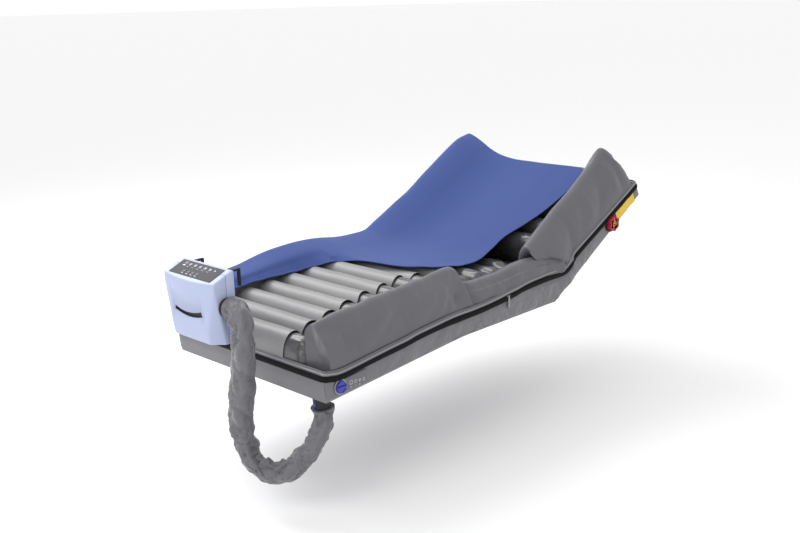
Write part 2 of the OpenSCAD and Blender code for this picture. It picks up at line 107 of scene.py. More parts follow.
class Finish:
    """One material: its surface shader, and the nodes that feed it."""

    def __init__(self, name, rough=None, **surface):
        """rough: scale and detail of the patches in which the roughness varies, its spread and its least."""
        self.material = bpy.data.materials.new(name)
        self.material.use_nodes = True
        self.tree = self.material.node_tree
        self.shader = self.tree.nodes["Principled BSDF"]
        self.set(self.shader, surface)
        self.place = self.add("ShaderNodeTexCoord", out="Object")
        if rough:
            scale, detail, spread, least = rough
            self.feed(Roughness=self.speckle(scale, detail) * spread + least)

    def set(self, node, values):
        for name, value in values.items():
            socket = node.inputs[name if name in node.inputs else name.replace("_", " ")]
            if isinstance(value, Value):
                self.tree.links.new(value.socket, socket)
            else:
                socket.default_value = value

    def add(self, kind, settings=None, out=0, **values):
        node = self.tree.nodes.new(kind)
        for name, value in (settings or {}).items():
            setattr(node, name, value)
        self.set(node, values)
        return Value(self.tree, node.outputs[out])

    def feed(self, **values):
        self.set(self.shader, values)

    def speckle(self, scale, detail=2, roughness=0.5, at=None):
        return self.add("ShaderNodeTexNoise", Scale=scale, Detail=detail, Roughness=roughness,
                        Vector=at or self.place)

    def stretched(self, x, y, z):
        return self.add("ShaderNodeMapping", Vector=self.place, Scale=(x, y, z))

    def blended(self, share, first, second):
        node = self.tree.nodes.new("ShaderNodeMix")
        node.data_type = "RGBA"
        self.tree.links.new(share.socket, node.inputs[0])
        for socket, colour in zip([s for s in node.inputs if s.type == "RGBA"], (first, second)):
            socket.default_value = colour
        return Value(self.tree, next(s for s in node.outputs if s.type == "RGBA"))

    def bump(self, height, strength, depth, under=None):
        values = {"Height": height, "Strength": strength, "Distance": depth}
        if under:
            values["Normal"] = under
        return self.add("ShaderNodeBump", **values)


def paint(piece, finish):
    piece.data.materials.clear()
    piece.data.materials.append(finish.material)


floor_finish = Finish("studio floor", (3, 2, 0.1, 0.65), Base_Color=(0.93, 0.93, 0.935, 1))
bpy.ops.mesh.primitive_plane_add(size=120, location=(0, 0, FLOOR_Z))
floor = bpy.context.object
floor.name = "floor"
bpy.ops.object.mode_set(mode="EDIT")
bpy.ops.mesh.subdivide(number_cuts=6)
bpy.ops.object.mode_set(mode="OBJECT")
paint(floor, floor_finish)

world = bpy.data.worlds.new("studio")
bpy.context.scene.world = world
world.use_nodes = True
world.node_tree.nodes["Background"].inputs["Color"].default_value = (1, 1, 1, 1)
world.node_tree.nodes["Background"].inputs["Strength"].default_value = 1.0
for name, at, aim, size, power in (
    ("key", (-0.9, 2.6, 3.1), (0, 0, 0.1), 2.8, 120),
    ("front", (-3.6, -0.6, 1.8), (-0.8, 0, 0.1), 1.6, 22),
):
    lamp_data = bpy.data.lights.new(name, "AREA")
    lamp_data.size, lamp_data.energy = size, power
    lamp = bpy.data.objects.new(name, lamp_data)
    bpy.context.collection.objects.link(lamp)
    lamp.location = at
    lamp.rotation_mode = "QUATERNION"
    lamp.rotation_quaternion = (Vector(aim) - Vector(at)).to_track_quat("-Z", "Y")

# The hose: a bundle of air tubes in a loose sleeve of coated nylon, gathered where it bends.
# It leaves the pump's collar sideways, hangs in a loop, and comes up to the coupling under the calf tray.
HOSE_R = 0.043
collar_end = np.array((-1.187, -0.1295, 0.268))
port_end = np.array((-0.9966, -0.370, -0.0967))
hose_down = [
    (0, 0, 0), (0, -21, 0), (-3, -43, -6), (-6, -63, -20), (-10, -77, -42), (-14, -85, -70), (-17, -87, -102),
    (-19, -85, -136), (-20, -81, -172), (-20, -75, -210), (-20, -68, -250), (-20, -60, -292),
    (-20, -52, -336), (-20, -46, -380), (-20, -44, -426), (-19, -49, -470), (-17, -61, -510),
    (-13, -82, -545), (-5, -111, -570), (8, -142, -582),
]
hose_up = [
    (-164, 69, -217), (-142, 42, -207), (-119, 20, -189), (-96, 3, -166), (-74, -9, -140), (-54, -16, -111),
    (-37, -17, -85), (-20, -13, -61), (-6, -6, -39), (1.6, 0, -20), (0, 0, 0),
]
hose_route = [collar_end + np.array(p) / 1000 for p in hose_down]
hose_route += [port_end + np.array(p) / 1000 for p in hose_up]


def smooth_line(points, per_span):
    """The points of a smooth curve through the given ones."""
    p = np.array(points, float)
    p = np.vstack([2 * p[0] - p[1], p, 2 * p[-1] - p[-2]])
    t = np.arange(per_span) / per_span
    t = t[:, None]
    spans = [
        0.5 * (2 * b + (c - a) * t + (2 * a - 5 * b + 4 * c - d) * t**2 + (3 * b - a - 3 * c + d) * t**3)
        for a, b, c, d in zip(p, p[1:], p[2:], p[3:])
    ]
    return np.vstack(spans + [p[-2:-1]])


def evenly(points, count):
    """The same line again, with its points evenly spaced."""
    p = np.array(points, float)
    run = np.concatenate([[0], np.cumsum(np.linalg.norm(np.diff(p, axis=0), axis=1))])
    at = np.linspace(0, run[-1], count)
    return np.stack([np.interp(at, run, p[:, k]) for k in range(p.shape[1])], 1), run[-1]


def skin(name, rings, closed=True, caps=False):
    """A mesh over rows of points, each row joined to the next."""
    rings = np.asarray(rings, float)
    rows, count = rings.shape[:2]
    faces = []
    for i in range(rows - 1):
        for k in range(count if closed else count - 1):
            n = (k + 1) % count
            faces.append((i * count + k, i * count + n, (i + 1) * count + n, (i + 1) * count + k))
    if caps:
        faces += [tuple(range(count))[::-1], tuple(range((rows - 1) * count, rows * count))]
    mesh = bpy.data.meshes.new(name)
    mesh.from_pydata(rings.reshape(-1, 3).tolist(), [], faces)
    mesh.update()
    piece = bpy.data.objects.new(name, mesh)
    bpy.context.collection.objects.link(piece)
    mesh.polygons.foreach_set("use_smooth", [True] * len(mesh.polygons))
    return piece


def outward(piece):
    """Turns the faces of a closed shell so that they all point outwards, and keeps its rims crisp."""
    shell = bmesh.new()
    shell.from_mesh(piece.data)
    bmesh.ops.recalc_face_normals(shell, faces=shell.faces)
    shell.to_mesh(piece.data)
    shell.free()
    bpy.ops.object.select_all(action="DESELECT")
    bpy.context.view_layer.objects.active = piece
    piece.select_set(True)
    bpy.ops.object.shade_smooth_by_angle(angle=radians(65))
    piece.select_set(False)


def creases(p, seed, scale, octaves=3):
    """Sharp valleys between soft ridges, from 0 to 1, as crumpled cloth has."""
    total, size, most = 0.0, 1.0, 0.0
    for _ in range(octaves):
        q = Vector(p) * scale + Vector((seed * 7.3, seed * 3.1, seed * 5.7))
        total += abs(noise.noise(q)) * size
        most += size * 0.6
        scale, size = scale * 2.1, size * 0.5
    return min(1.0, total / most)


def dress(piece, finish, body=None):
    """Gives a piece its finish, its material slot and, if it has only one, the body it moves with."""
    paint(piece, finish)
    if body:
        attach(piece, body)


HOSE_ROWS, AROUND = 420, 88
line, hose_length = evenly(smooth_line(hose_route, 12), HOSE_ROWS)
tangent = np.gradient(line, axis=0)
tangent /= np.linalg.norm(tangent, axis=1)[:, None]
bend = np.linalg.norm(np.gradient(tangent, axis=0), axis=1) * HOSE_ROWS / hose_length
bend = np.convolve(np.pad(bend, 12, mode="edge"), np.ones(25) / 25, "valid")
side = np.array((1.0, 0.1, 0.05))
cuff_seams = (hose_length - 0.185, hose_length - 0.13)
rings = []
for i, (p, t) in enumerate(zip(line, tangent)):
    side = side - t * (side @ t)
    side /= np.linalg.norm(side)
    other = np.cross(t, side)
    s = i / (HOSE_ROWS - 1) * hose_length
    gather = min(1.0, max(0.18, bend[i] / 7))
    near_end = min(s, hose_length - s)
    calm = min(1.0, near_end / 0.03)
    cuff = sum(exp(-(((s - seam) / 0.004) ** 2)) for seam in cuff_seams)
    ring = []
    for k in range(AROUND):
        a = 2 * pi * k / AROUND
        u, v = cos(a), sin(a)
        twist = a + 9 * s
        broad = creases((cos(twist) * 0.8, sin(twist) * 0.8, s * 11), 1, 1.0, 1)
        sharp = creases((cos(a - 13 * s), sin(a - 13 * s), s * 15), 2, 1.0, 2)
        rings_of_folds = creases((u * 0.9, v * 0.9, s * 24 + 0.5 * sin(a + 20 * s)), 3, 1.0, 2)
        drop = 0.002 + 0.018 * (0.55 - broad) * (0.55 + 0.45 * gather)
        drop += 0.009 * gather * (1 - rings_of_folds) ** 3
        drop += 0.008 * (1 - sharp) ** 4 * (0.5 + 0.5 * gather)
        swell = 0.004 * noise.noise(Vector((u * 0.8, v * 0.8, s * 6)))
        r = HOSE_R + 0.0045 + swell - drop * calm + 0.0015 * cuff - 0.004 * (1 - calm)
        ring.append(p + side * (r * u) + other * (r * v))
    rings.append(ring)
hose = skin("hose_sleeve_fabric", rings, caps=True)
outward(hose)

sleeve_finish = Finish("creased sleeve nylon", Sheen_Weight=0.25, Sheen_Roughness=0.4)
worn = sleeve_finish.speckle(14, 4, 0.6)
sleeve_finish.feed(
    Base_Color=sleeve_finish.blended(worn, (0.088, 0.088, 0.098, 1), (0.140, 0.140, 0.153, 1)),
    Roughness=worn * 0.2 + 0.28,
)
weave = sleeve_finish.speckle(900, 1)
fine_creases = sleeve_finish.speckle(55, 5, 0.62)
sleeve_finish.feed(Normal=sleeve_finish.bump(
    weave, 0.25, 0.0004, sleeve_finish.bump(fine_creases, 0.35, 0.006)))
dress(hose, sleeve_finish)
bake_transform(hose)
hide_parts("hose_sleeve")

# The side covers: coated nylon over foam bolsters, tall beside the calves and the back, low beside the seat.
# Each half is one fabric, sewn to a ridge, pinched in at the knee and gathered into a deep fold at the hip.
# They follow the deck's panels: the calf panel slopes down from the knee and the back panel rises at the hip.
KNEE_X, HIP_X, CALF_L, BACK_L, HALF_W = -0.29, 0.29, 0.745, 0.72, 0.445
CALF_SLOPE, BACK_RISE = radians(4.5), radians(30)
MIDDLE = 0.0  # of the seat, where the halves of each long soft piece meet


def on_calf(s, n):
    """A point of the calf section as (x, z): s from the knee, negative to the foot, and n above the deck."""
    return KNEE_X + s * cos(CALF_SLOPE) - n * sin(CALF_SLOPE), s * sin(CALF_SLOPE) + n * cos(CALF_SLOPE)


def on_back(s, n):
    """A point of the back section as (x, z): s from the hip and n above the deck."""
    return HIP_X + s * cos(BACK_RISE) - n * sin(BACK_RISE), s * sin(BACK_RISE) + n * cos(BACK_RISE)


def along(points, count):
    """Evenly spaced rows through stations, each a flat list of numbers that starts with its x and z."""
    p = smooth_line(points, 14)
    run = np.concatenate([[0], np.cumsum(np.linalg.norm(np.diff(p[:, :2], axis=0), axis=1))])
    at = np.linspace(0, run[-1], count)
    return np.stack([np.interp(at, run, p[:, k]) for k in range(p.shape[1])], 1)


def across(row, count):
    """Evenly spaced points of a smooth line through one row's control points."""
    return evenly(smooth_line(row, 10), count)[0]


def lift(grid, height):
    """Moves a grid's points along its own normals."""
    grid = np.asarray(grid, float)
    n = np.cross(np.gradient(grid, axis=0), np.gradient(grid, axis=1))
    n /= np.maximum(np.linalg.norm(n, axis=2), 1e-9)[..., None]
    return grid + n * height[..., None]


def crumple(grid, seed, scale, depth, stretch=(1, 1, 1)):
    """Irregular shallow creases over a grid of points, as a height for each."""
    flat = grid.reshape(-1, 3) * np.array(stretch)
    found = np.array([creases(p, seed, scale) for p in flat])
    return (found.reshape(grid.shape[:2]) - 0.5) * depth


def drape(grid, seed, scale, depth, stretch=(1, 1, 1)):
    """Soft slow waves over a grid of points, as a height for each."""
    flat = grid.reshape(-1, 3) * np.array(stretch) * scale + seed * 3.7
    return np.array([noise.noise(Vector(p)) for p in flat]).reshape(grid.shape[:2]) * depth


def folds(shape, lines):
    """Long folds sunk into a grid: each is row and column share at both ends, width and depth."""
    rows, cols = np.meshgrid(np.linspace(0, 1, shape[0]), np.linspace(0, 1, shape[1]), indexing="ij")
    total = np.zeros(shape)
    for r0, c0, r1, c1, width, height in lines:
        dr, dc = (r1 - r0) * 3, c1 - c0
        share = np.clip((((rows - r0) * 3) * dr + (cols - c0) * dc) / (dr * dr + dc * dc), 0, 1)
        gap = np.hypot((rows - r0) * 3 - share * dr, cols - c0 - share * dc)
        total -= height * np.exp(-((gap / (1.5 * width)) ** 1.6)) * (1 - 0.6 * share)
    return total


def blend_over_knee(*pieces):
    """Bakes the placing of soft pieces by the knee, between the calf and seat sections, into their meshes."""
    for piece in pieces:
        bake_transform(piece)


def blend_over_hip(*pieces):
    """Bakes the placing of soft pieces by the hip, between the seat and back sections, into their meshes."""
    for piece in pieces:
        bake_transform(piece)


SIDE_COLUMNS = 72
side_finish = Finish("satin side nylon", Sheen_Weight=0.1, Sheen_Roughness=0.45)
side_patch = side_finish.speckle(3.2, 3, 0.5)
side_finish.feed(
    Base_Color=side_finish.blended(side_patch, (0.086, 0.086, 0.098, 1), (0.118, 0.118, 0.132, 1)),
    Roughness=side_patch * 0.14 + 0.27,
)
side_wrinkle = side_finish.speckle(15, 3, 0.5, side_finish.stretched(1, 1, 0.5))
side_finish.feed(Normal=side_finish.bump(side_finish.speckle(1100, 1), 0.2, 0.0003,
                                         side_finish.bump(side_wrinkle, 0.2, 0.008)))


def side_cover(name, side, stations, rows, dents, foot_end, seed):
    """stations: zip x, z, y; ridge x, z, y; top width; inner foot z, with every y from the bed's middle."""
    table = along(stations, rows)
    grid = []
    for zx, zz, zy, rx, rz, ry, top, low in table:
        bulge, zy = 0.018, zy - 0.009
        row = [
            (zx, zy, zz - 0.03), (zx, zy + 0.001, zz),
            (zx * 0.66 + rx * 0.34, zy * 0.72 + ry * 0.28 + bulge, zz * 0.66 + rz * 0.34),
            (zx * 0.34 + rx * 0.66, zy * 0.45 + ry * 0.55 + bulge, zz * 0.34 + rz * 0.66),
            (rx, ry + 0.028, rz - 0.030), (rx, ry + 0.010, rz - 0.007), (rx, ry - 0.012, rz - 0.001),
            (rx, ry - top * 0.8, rz - 0.014), (rx, ry - top - 0.010, rz - 0.045),
            (rx, ry - top - 0.010, rz * 0.4 + low * 0.6), (rx, ry - top - 0.004, low),
        ]
        grid.append(across(row, SIDE_COLUMNS))
    grid = np.array(grid)
    grid[..., 1] *= side
    face = np.linspace(0, 1, SIDE_COLUMNS)
    outer = np.clip(1 - np.abs(face - 0.32) / 0.34, 0, 1) ** 0.6
    height = 1.2 * folds((rows, SIDE_COLUMNS), dents) * np.clip((0.66 - face) * 12, 0, 1)
    height += crumple(grid, seed, 4.5, 0.013, (1, 1, 0.6)) * outer + drape(grid, seed, 6, 0.012) * outer
    height *= np.clip((face - 0.10) * 9, 0, 1)
    grid = lift(grid, -height * side)
    rings = list(grid)
    if foot_end:
        middle = grid[0].mean(0)
        rings = [middle + (grid[0] - middle) * k + np.array((0.010 * (1 - k), 0, 0))
                 for k in (0.02, 0.3, 0.6, 0.85, 0.97)] + rings
    else:
        middle = grid[-1].mean(0)
        rings += [middle + (grid[-1] - middle) * k - np.array((0.006 * (1 - k), 0, 0))
                  for k in (0.97, 0.8, 0.5, 0.2, 0.02)]
    piece = skin(name, rings, caps=True)
    outward(piece)
    dress(piece, side_finish)
    return piece


def calf_station(s, zip_n, ridge_n, top=0.036, lean=0.0, zip_y=0.449):
    zx, zz = on_calf(s, zip_n)
    rx, rz = on_calf(s + lean, ridge_n)
    return zx, zz, zip_y, rx, rz, 0.372, top, rz - ridge_n + 0.05


def back_station(s, zip_n, ridge_n, zip_y=0.458, top=0.036, ridge_y=0.372):
    zx, zz = on_back(s, zip_n)
    rx, rz = on_back(s, ridge_n)
    return zx, zz, zip_y, rx, rz, ridge_y, top, on_back(s, 0.05)[1]


near_foot = [
    calf_station(-0.712, 0.100, 0.276), calf_station(-0.66, 0.100, 0.280), calf_station(-0.54, 0.098, 0.281),
    calf_station(-0.40, 0.099, 0.280), calf_station(-0.26, 0.098, 0.280), calf_station(-0.12, 0.096, 0.280),
    calf_station(-0.045, 0.096, 0.278), (-0.300, 0.095, 0.449, -0.300, 0.270, 0.372, 0.034, 0.05),
    (-0.268, 0.094, 0.449, -0.272, 0.247, 0.374, 0.036, 0.05),
    (-0.245, 0.094, 0.449, -0.262, 0.212, 0.380, 0.045, 0.05),
    (-0.212, 0.092, 0.449, -0.225, 0.200, 0.394, 0.055, 0.05),
    (-0.15, 0.094, 0.449, -0.15, 0.200, 0.398, 0.058, 0.05),
    (-0.07, 0.101, 0.449, -0.07, 0.200, 0.398, 0.058, 0.05),
    (MIDDLE, 0.110, 0.450, MIDDLE, 0.205, 0.398, 0.058, 0.05),
]
near_head = [
    (MIDDLE, 0.110, 0.450, MIDDLE, 0.205, 0.398, 0.058, 0.05),
    (0.08, 0.118, 0.452, 0.08, 0.212, 0.400, 0.060, 0.05),
    (0.17, 0.122, 0.454, 0.17, 0.212, 0.404, 0.060, 0.05),
    (0.26, 0.122, 0.456, 0.25, 0.204, 0.410, 0.058, 0.05),
    (0.335, 0.124, 0.458, 0.302, 0.186, 0.412, 0.052, 0.06),
    (0.360, 0.130, 0.458, 0.275, 0.180, 0.385, 0.03, 0.07),
    (0.372, 0.138, 0.458, 0.215, 0.208, 0.382, 0.03, 0.08),
    (0.380, 0.146, 0.459, 0.172, 0.238, 0.392, 0.034, 0.09),
    (0.386, 0.154, 0.460, 0.160, 0.258, 0.386, 0.034, 0.09),
    (0.398, 0.166, 0.462, 0.185, 0.275, 0.376, 0.036, 0.10),
    back_station(0.20, 0.088, 0.290), back_station(0.30, 0.090, 0.292), back_station(0.42, 0.092, 0.293),
    back_station(0.55, 0.086, 0.298), back_station(0.635, 0.080, 0.312), back_station(0.672, 0.078, 0.312),
    back_station(0.692, 0.078, 0.272, ridge_y=0.385, top=0.03, zip_y=0.452),
]
foot_folds = [
    (0.02, 0.42, 0.10, 0.30, 0.05, 0.009), (0.10, 0.30, 0.06, 0.08, 0.05, 0.010),
    (0.14, 0.10, 0.13, 0.36, 0.04, 0.007),
    (0.20, 0.08, 0.42, 0.40, 0.05, 0.008), (0.30, 0.07, 0.55, 0.42, 0.05, 0.007),
    (0.47, 0.08, 0.64, 0.36, 0.04, 0.007),
    (0.58, 0.08, 0.69, 0.40, 0.04, 0.010), (0.655, 0.06, 0.72, 0.42, 0.045, 0.018),
    (0.735, 0.10, 0.71, 0.40, 0.04, -0.014),
    (0.76, 0.12, 0.735, 0.40, 0.04, 0.012), (0.84, 0.10, 0.90, 0.35, 0.05, 0.005),
]
head_folds = [
    (0.06, 0.10, 0.14, 0.35, 0.05, 0.005), (0.22, 0.10, 0.27, 0.38, 0.05, 0.008),
    (0.335, 0.12, 0.36, 0.45, 0.04, -0.016),
    (0.40, 0.10, 0.42, 0.48, 0.05, 0.018), (0.47, 0.10, 0.52, 0.40, 0.05, 0.009),
    (0.56, 0.08, 0.66, 0.42, 0.06, 0.007),
    (0.70, 0.10, 0.84, 0.40, 0.06, 0.008), (0.93, 0.12, 0.95, 0.42, 0.05, 0.010),
]
near_cover_foot = side_cover("side_cover_near_foot", -1, near_foot, 260, foot_folds, True, 1)
near_cover_head = side_cover("side_cover_near_head", -1, near_head, 330, head_folds, False, 1)
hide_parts("calf_bolster_near", "seat_bolster_near")
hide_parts("back_bolster_near", "hip_gussets")
far_foot = [
    calf_station(-0.70, 0.100, 0.262), calf_station(-0.55, 0.100, 0.264), calf_station(-0.30, 0.100, 0.264),
    calf_station(-0.06, 0.100, 0.262), (-0.27, 0.10, 0.447, -0.27, 0.245, 0.372, 0.036, 0.05),
    (-0.20, 0.10, 0.447, -0.20, 0.232, 0.380, 0.045, 0.05),
    (-0.10, 0.10, 0.447, -0.10, 0.228, 0.380, 0.05, 0.05),
    (MIDDLE, 0.10, 0.447, MIDDLE, 0.232, 0.380, 0.05, 0.05),
]
far_head = [
    (MIDDLE, 0.10, 0.447, MIDDLE, 0.232, 0.380, 0.05, 0.05),
    (0.10, 0.105, 0.447, 0.08, 0.262, 0.380, 0.045, 0.05),
    (0.21, 0.11, 0.447, 0.14, 0.288, 0.380, 0.04, 0.06),
    (0.27, 0.115, 0.447, 0.185, 0.305, 0.380, 0.036, 0.07),
    (0.31, 0.135, 0.447, 0.225, 0.325, 0.378, 0.036, 0.09), back_station(0.20, 0.10, 0.292, 0.447),
    back_station(0.35, 0.10, 0.294, 0.447),
    back_station(0.55, 0.10, 0.290, 0.447), back_station(0.63, 0.10, 0.272, 0.447),
    back_station(0.69, 0.10, 0.230, 0.447),
]
far_cover_foot = side_cover("side_cover_far_foot", 1, far_foot, 160, foot_folds[:6], True, 3)
far_cover_head = side_cover("side_cover_far_head", 1, far_head, 180, head_folds[:3], False, 3)
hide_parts("calf_bolster_far", "seat_bolster_far")
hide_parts("back_bolster_far")
blend_over_knee(near_cover_foot, far_cover_foot)
blend_over_hip(near_cover_head, far_cover_head)

# The top cover: one matte stretch-knit sheet, zipped along the far side and laid back from the near side.
# It rides over the far bolster, lies on the cells and hangs slack across the hip. A hem binds its free edge.
sheet_stations = [
    # low x, z; ridge x, z; far zip x, z; near edge y
    (-1.030, 0.174, -1.035, 0.220, -1.022, 0.064, 0.310),
    (-0.880, 0.185, -0.885, 0.228, -0.872, 0.076, 0.296),
    (-0.730, 0.195, -0.746, 0.240, -0.722, 0.088, 0.287),
    (-0.640, 0.198, -0.655, 0.257, -0.632, 0.094, 0.278),
    (-0.550, 0.195, -0.569, 0.268, -0.543, 0.101, 0.277),
    (-0.450, 0.201, -0.465, 0.273, -0.444, 0.107, 0.262),
    (-0.370, 0.206, -0.374, 0.273, -0.366, 0.112, 0.226),
    (-0.315, 0.207, -0.318, 0.270, -0.314, 0.116, 0.165),
    (-0.280, 0.207, -0.275, 0.266, -0.280, 0.117, 0.055),
    (-0.245, 0.206, -0.235, 0.260, -0.245, 0.117, -0.065),
    (-0.180, 0.204, -0.169, 0.252, -0.180, 0.117, -0.140),
    (-0.090, 0.203, -0.085, 0.248, -0.090, 0.117, -0.200),
    (0.000, 0.203, -0.005, 0.250, 0.000, 0.117, -0.212), (0.080, 0.208, 0.060, 0.278, 0.095, 0.117, -0.205),
    (0.160, 0.228, 0.125, 0.308, 0.190, 0.118, -0.193), (0.245, 0.262, 0.205, 0.347, 0.280, 0.138, -0.194),
    (0.343, 0.308, 0.298, 0.388, 0.4045, 0.201, -0.235), (0.430, 0.358, 0.385, 0.438, 0.4915, 0.2515, -0.275),
    (0.560, 0.433, 0.515, 0.513, 0.6215, 0.3265, -0.306),
    (0.650, 0.486, 0.640, 0.582, 0.7115, 0.3795, -0.312),
    (0.690, 0.508, 0.720, 0.603, 0.7750, 0.4160, -0.306),
]
SHEET_ROWS, SHEET_COLUMNS = 300, 110
sheet_rows = along(sheet_stations, SHEET_ROWS)
sheet_grid = []
for lx, lz, rx, rz, zx, zz, edge in sheet_rows:
    row = [(zx, 0.452, zz), (zx * 0.6 + rx * 0.4, 0.456, zz * 0.55 + rz * 0.45),
           (rx, 0.443, rz - 0.020), (rx, 0.424, rz - 0.001)]
    for y, share in ((0.385, 0.90), (0.33, 0.66), (0.26, 0.33), (0.18, 0.10), (0.08, 0.0)):
        if y > edge + 0.03:
            row.append((lx + (rx - lx) * share, y, lz + (rz - lz) * share))
    last = row[-1]
    reach = last[1] - edge
    for share in (0.5, 1.0):
        left = 1 - share
        row.append((lx * share + last[0] * left, last[1] - reach * share, lz * share + last[2] * left))
    sheet_grid.append(across(row, SHEET_COLUMNS))
sheet_grid = np.array(sheet_grid)
share = np.linspace(0, 1, SHEET_COLUMNS)[None, :]
run = np.linspace(0, 1, SHEET_ROWS)[:, None]
sheet_height = drape(sheet_grid, 5, 3.0, 0.008) + drape(sheet_grid, 6, 9.0, 0.003) * share**2
sheet_height += 0.0015 * np.sin(run * 2 * pi * 19) * share**6 * (run < 0.55)
sheet_grid = lift(sheet_grid, sheet_height)
corner = np.clip((run - 0.965) / 0.035, 0, 1) * np.clip((share - 0.93) / 0.07, 0, 1)
sheet_grid[..., 1] += 0.03 * corner**2
sheet_finish = Finish("blue stretch knit", Specular_IOR_Level=0.25,
                      Sheen_Weight=0.15, Sheen_Roughness=0.5, Sheen_Tint=(0.5, 0.6, 1, 1))
knit = sheet_finish.speckle(420, 2, 0.6)
tone = sheet_finish.speckle(2.2, 2)
mottle = tone * 0.6 + knit * 0.4
sheet_finish.feed(
    Base_Color=sheet_finish.blended(mottle, (0.036, 0.064, 0.215, 1), (0.044, 0.076, 0.243, 1)),
    Roughness=knit * 0.15 + 0.68,
)
BANDS = {"wave_type": "BANDS", "bands_direction": "X"}
warp = sheet_finish.add("ShaderNodeTexWave", BANDS, out=1, Scale=260.0, Distortion=0.6)
sheet_finish.feed(Normal=sheet_finish.bump(warp * 0.5 + knit * 0.5, 0.12, 0.0004))


def thicken(piece, thickness):
    """Gives a sheet its thickness, half to each side."""
    bpy.ops.object.select_all(action="DESELECT")
    bpy.context.view_layer.objects.active = piece
    piece.select_set(True)
    wall = piece.modifiers.new("wall", "SOLIDIFY")
    wall.thickness, wall.offset = thickness, 0
    bpy.ops.object.modifier_apply(modifier="wall")
    outward(piece)


split = int(np.argmin(np.abs(sheet_rows[:, 0] - MIDDLE)))
sheets = []
for name, part in (("top_cover_foot", sheet_grid[: split + 1]), ("top_cover_head", sheet_grid[split:])):
    piece = skin(name, part, closed=False)
    thicken(piece, 0.003)
    dress(piece, sheet_finish)
    sheets.append(piece)


def strip(name, path, outs, section):
    """A band of fixed section swept along a path; the section's points are (out, up) beside the path."""
    path, outs = np.array(path, float), np.array(outs, float)
    run = np.gradient(path, axis=0)
    run /= np.linalg.norm(run, axis=1)[:, None]
    ups = np.cross(run, outs)
    ups /= np.linalg.norm(ups, axis=1)[:, None]
    ups *= np.where(ups[:, 2] < 0, -1, 1)[:, None]
    rings = [[p + o * a + u * b for a, b in section] for p, o, u in zip(path, outs, ups)]
    piece = skin(name, rings, caps=True)
    outward(piece)
    return piece


def oval(width, height, count=12):
    return [(width / 2 * cos(2 * pi * k / count), height / 2 * sin(2 * pi * k / count)) for k in range(count)]


hems = []
for name, part in (("hem_foot", sheet_grid[: split + 1]), ("hem_head", sheet_grid[split:])):
    outs = part[:, -1] - part[:, -4]
    outs /= np.linalg.norm(outs, axis=1)[:, None]
    hem = strip(name, part[:, -1] - outs * 0.003, outs, oval(0.009, 0.0052))
    dress(hem, sheet_finish)
    hems.append(hem)
blend_over_knee(sheets[0], hems[0])
for piece in (sheets[1], hems[1]):
    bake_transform(piece)
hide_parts("calf_cover", "seat_cover")
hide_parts("hip_cover", "back_cover")


def spread(piece, grid, held, rests_on, with_pieces=()):
    """Measures a sheet's flat size and area along the rows and columns of its grid."""
    steps_long, steps_wide = np.diff(grid, axis=0), np.diff(grid, axis=1)
    wide = float(np.linalg.norm(steps_wide, axis=2).sum(1).max())
    long = float(np.linalg.norm(steps_long, axis=2).sum(0).max())
    area = float(np.linalg.norm(np.cross(steps_long[:, :-1], steps_wide[:-1]), axis=2).sum())


spread(sheets[0], sheet_grid[: split + 1], "laid", ["side_cover_far_foot"], [hems[0]])
spread(sheets[1], sheet_grid[split:], "laid", ["side_cover_far_head"], [hems[1]])

# The base tray: padded coated nylon, a floor with walls all round, bagging a little between its seams.
# It is one piece of fabric over all three deck panels, and its walls carry the lower half of the zip.
tray_finish = Finish("padded tray nylon", Sheen_Weight=0.2)
tray_patch = tray_finish.speckle(4, 3)
tray_finish.feed(
    Base_Color=tray_finish.blended(tray_patch, (0.120, 0.120, 0.132, 1), (0.160, 0.160, 0.174, 1)),
    Roughness=tray_patch * 0.2 + 0.42,
)
tray_finish.feed(Normal=tray_finish.bump(tray_finish.speckle(950, 1), 0.2, 0.0003,
                                         tray_finish.bump(tray_finish.speckle(20, 3), 0.2, 0.007)))


def tray_half(name, stations, seed, rows):
    """stations: outer foot x, z; wall top x, z; how far the walls may bag out."""
    grid = []
    table = along(stations, rows)
    wall = [(0.443, 1), (0.4435, 0.8), (0.444, 0.5), (0.4435, 0.15), (0.434, 0.0), (0.25, 0.0), (0.0, 0.0)]
    lining = [(0.0, 0.1), (0.25, 0.1), (0.42, 0.11), (0.434, 0.2), (0.436, 0.6), (0.436, 1)]
    outline = [(-y, h) for y, h in wall] + [(y, h) for y, h in wall[-2::-1]]
    outline += [(y, h) for y, h in lining[::-1]] + [(-y, h) for y, h in lining[1:]]
    ys, heights = evenly(outline + outline[:1], 261)[0][:-1].T
    bulge = np.where((np.abs(ys) > 0.44) & (heights < 0.98), np.sin(np.clip(heights, 0, 1) * pi), 0)
    for bx, bz, tx, tz, bag in table:
        y = ys + np.sign(ys) * bulge * bag
        grid.append(np.stack([bx + (tx - bx) * heights, y, bz + (tz - bz) * heights], 1))
    grid = np.array(grid)
    shares = np.abs(grid[..., 1]) > 0.4415
    soft = np.clip(table[:, 4] / 0.005, 0, 1)[:, None]
    grid[..., 1] += np.sign(grid[..., 1]) * shares * soft * (crumple(grid, seed, 11, 0.012) - 0.001)
    piece = skin(name, grid, caps=True)
    outward(piece)
    dress(piece, tray_finish)
    return piece


def back_wall(s, top_x, top_z, bag):
    return (*on_back(s, 0), top_x, top_z, bag)


def calf_wall(s, top_n, bag):
    return (*on_calf(s, 0.002), *on_calf(s, top_n), bag)


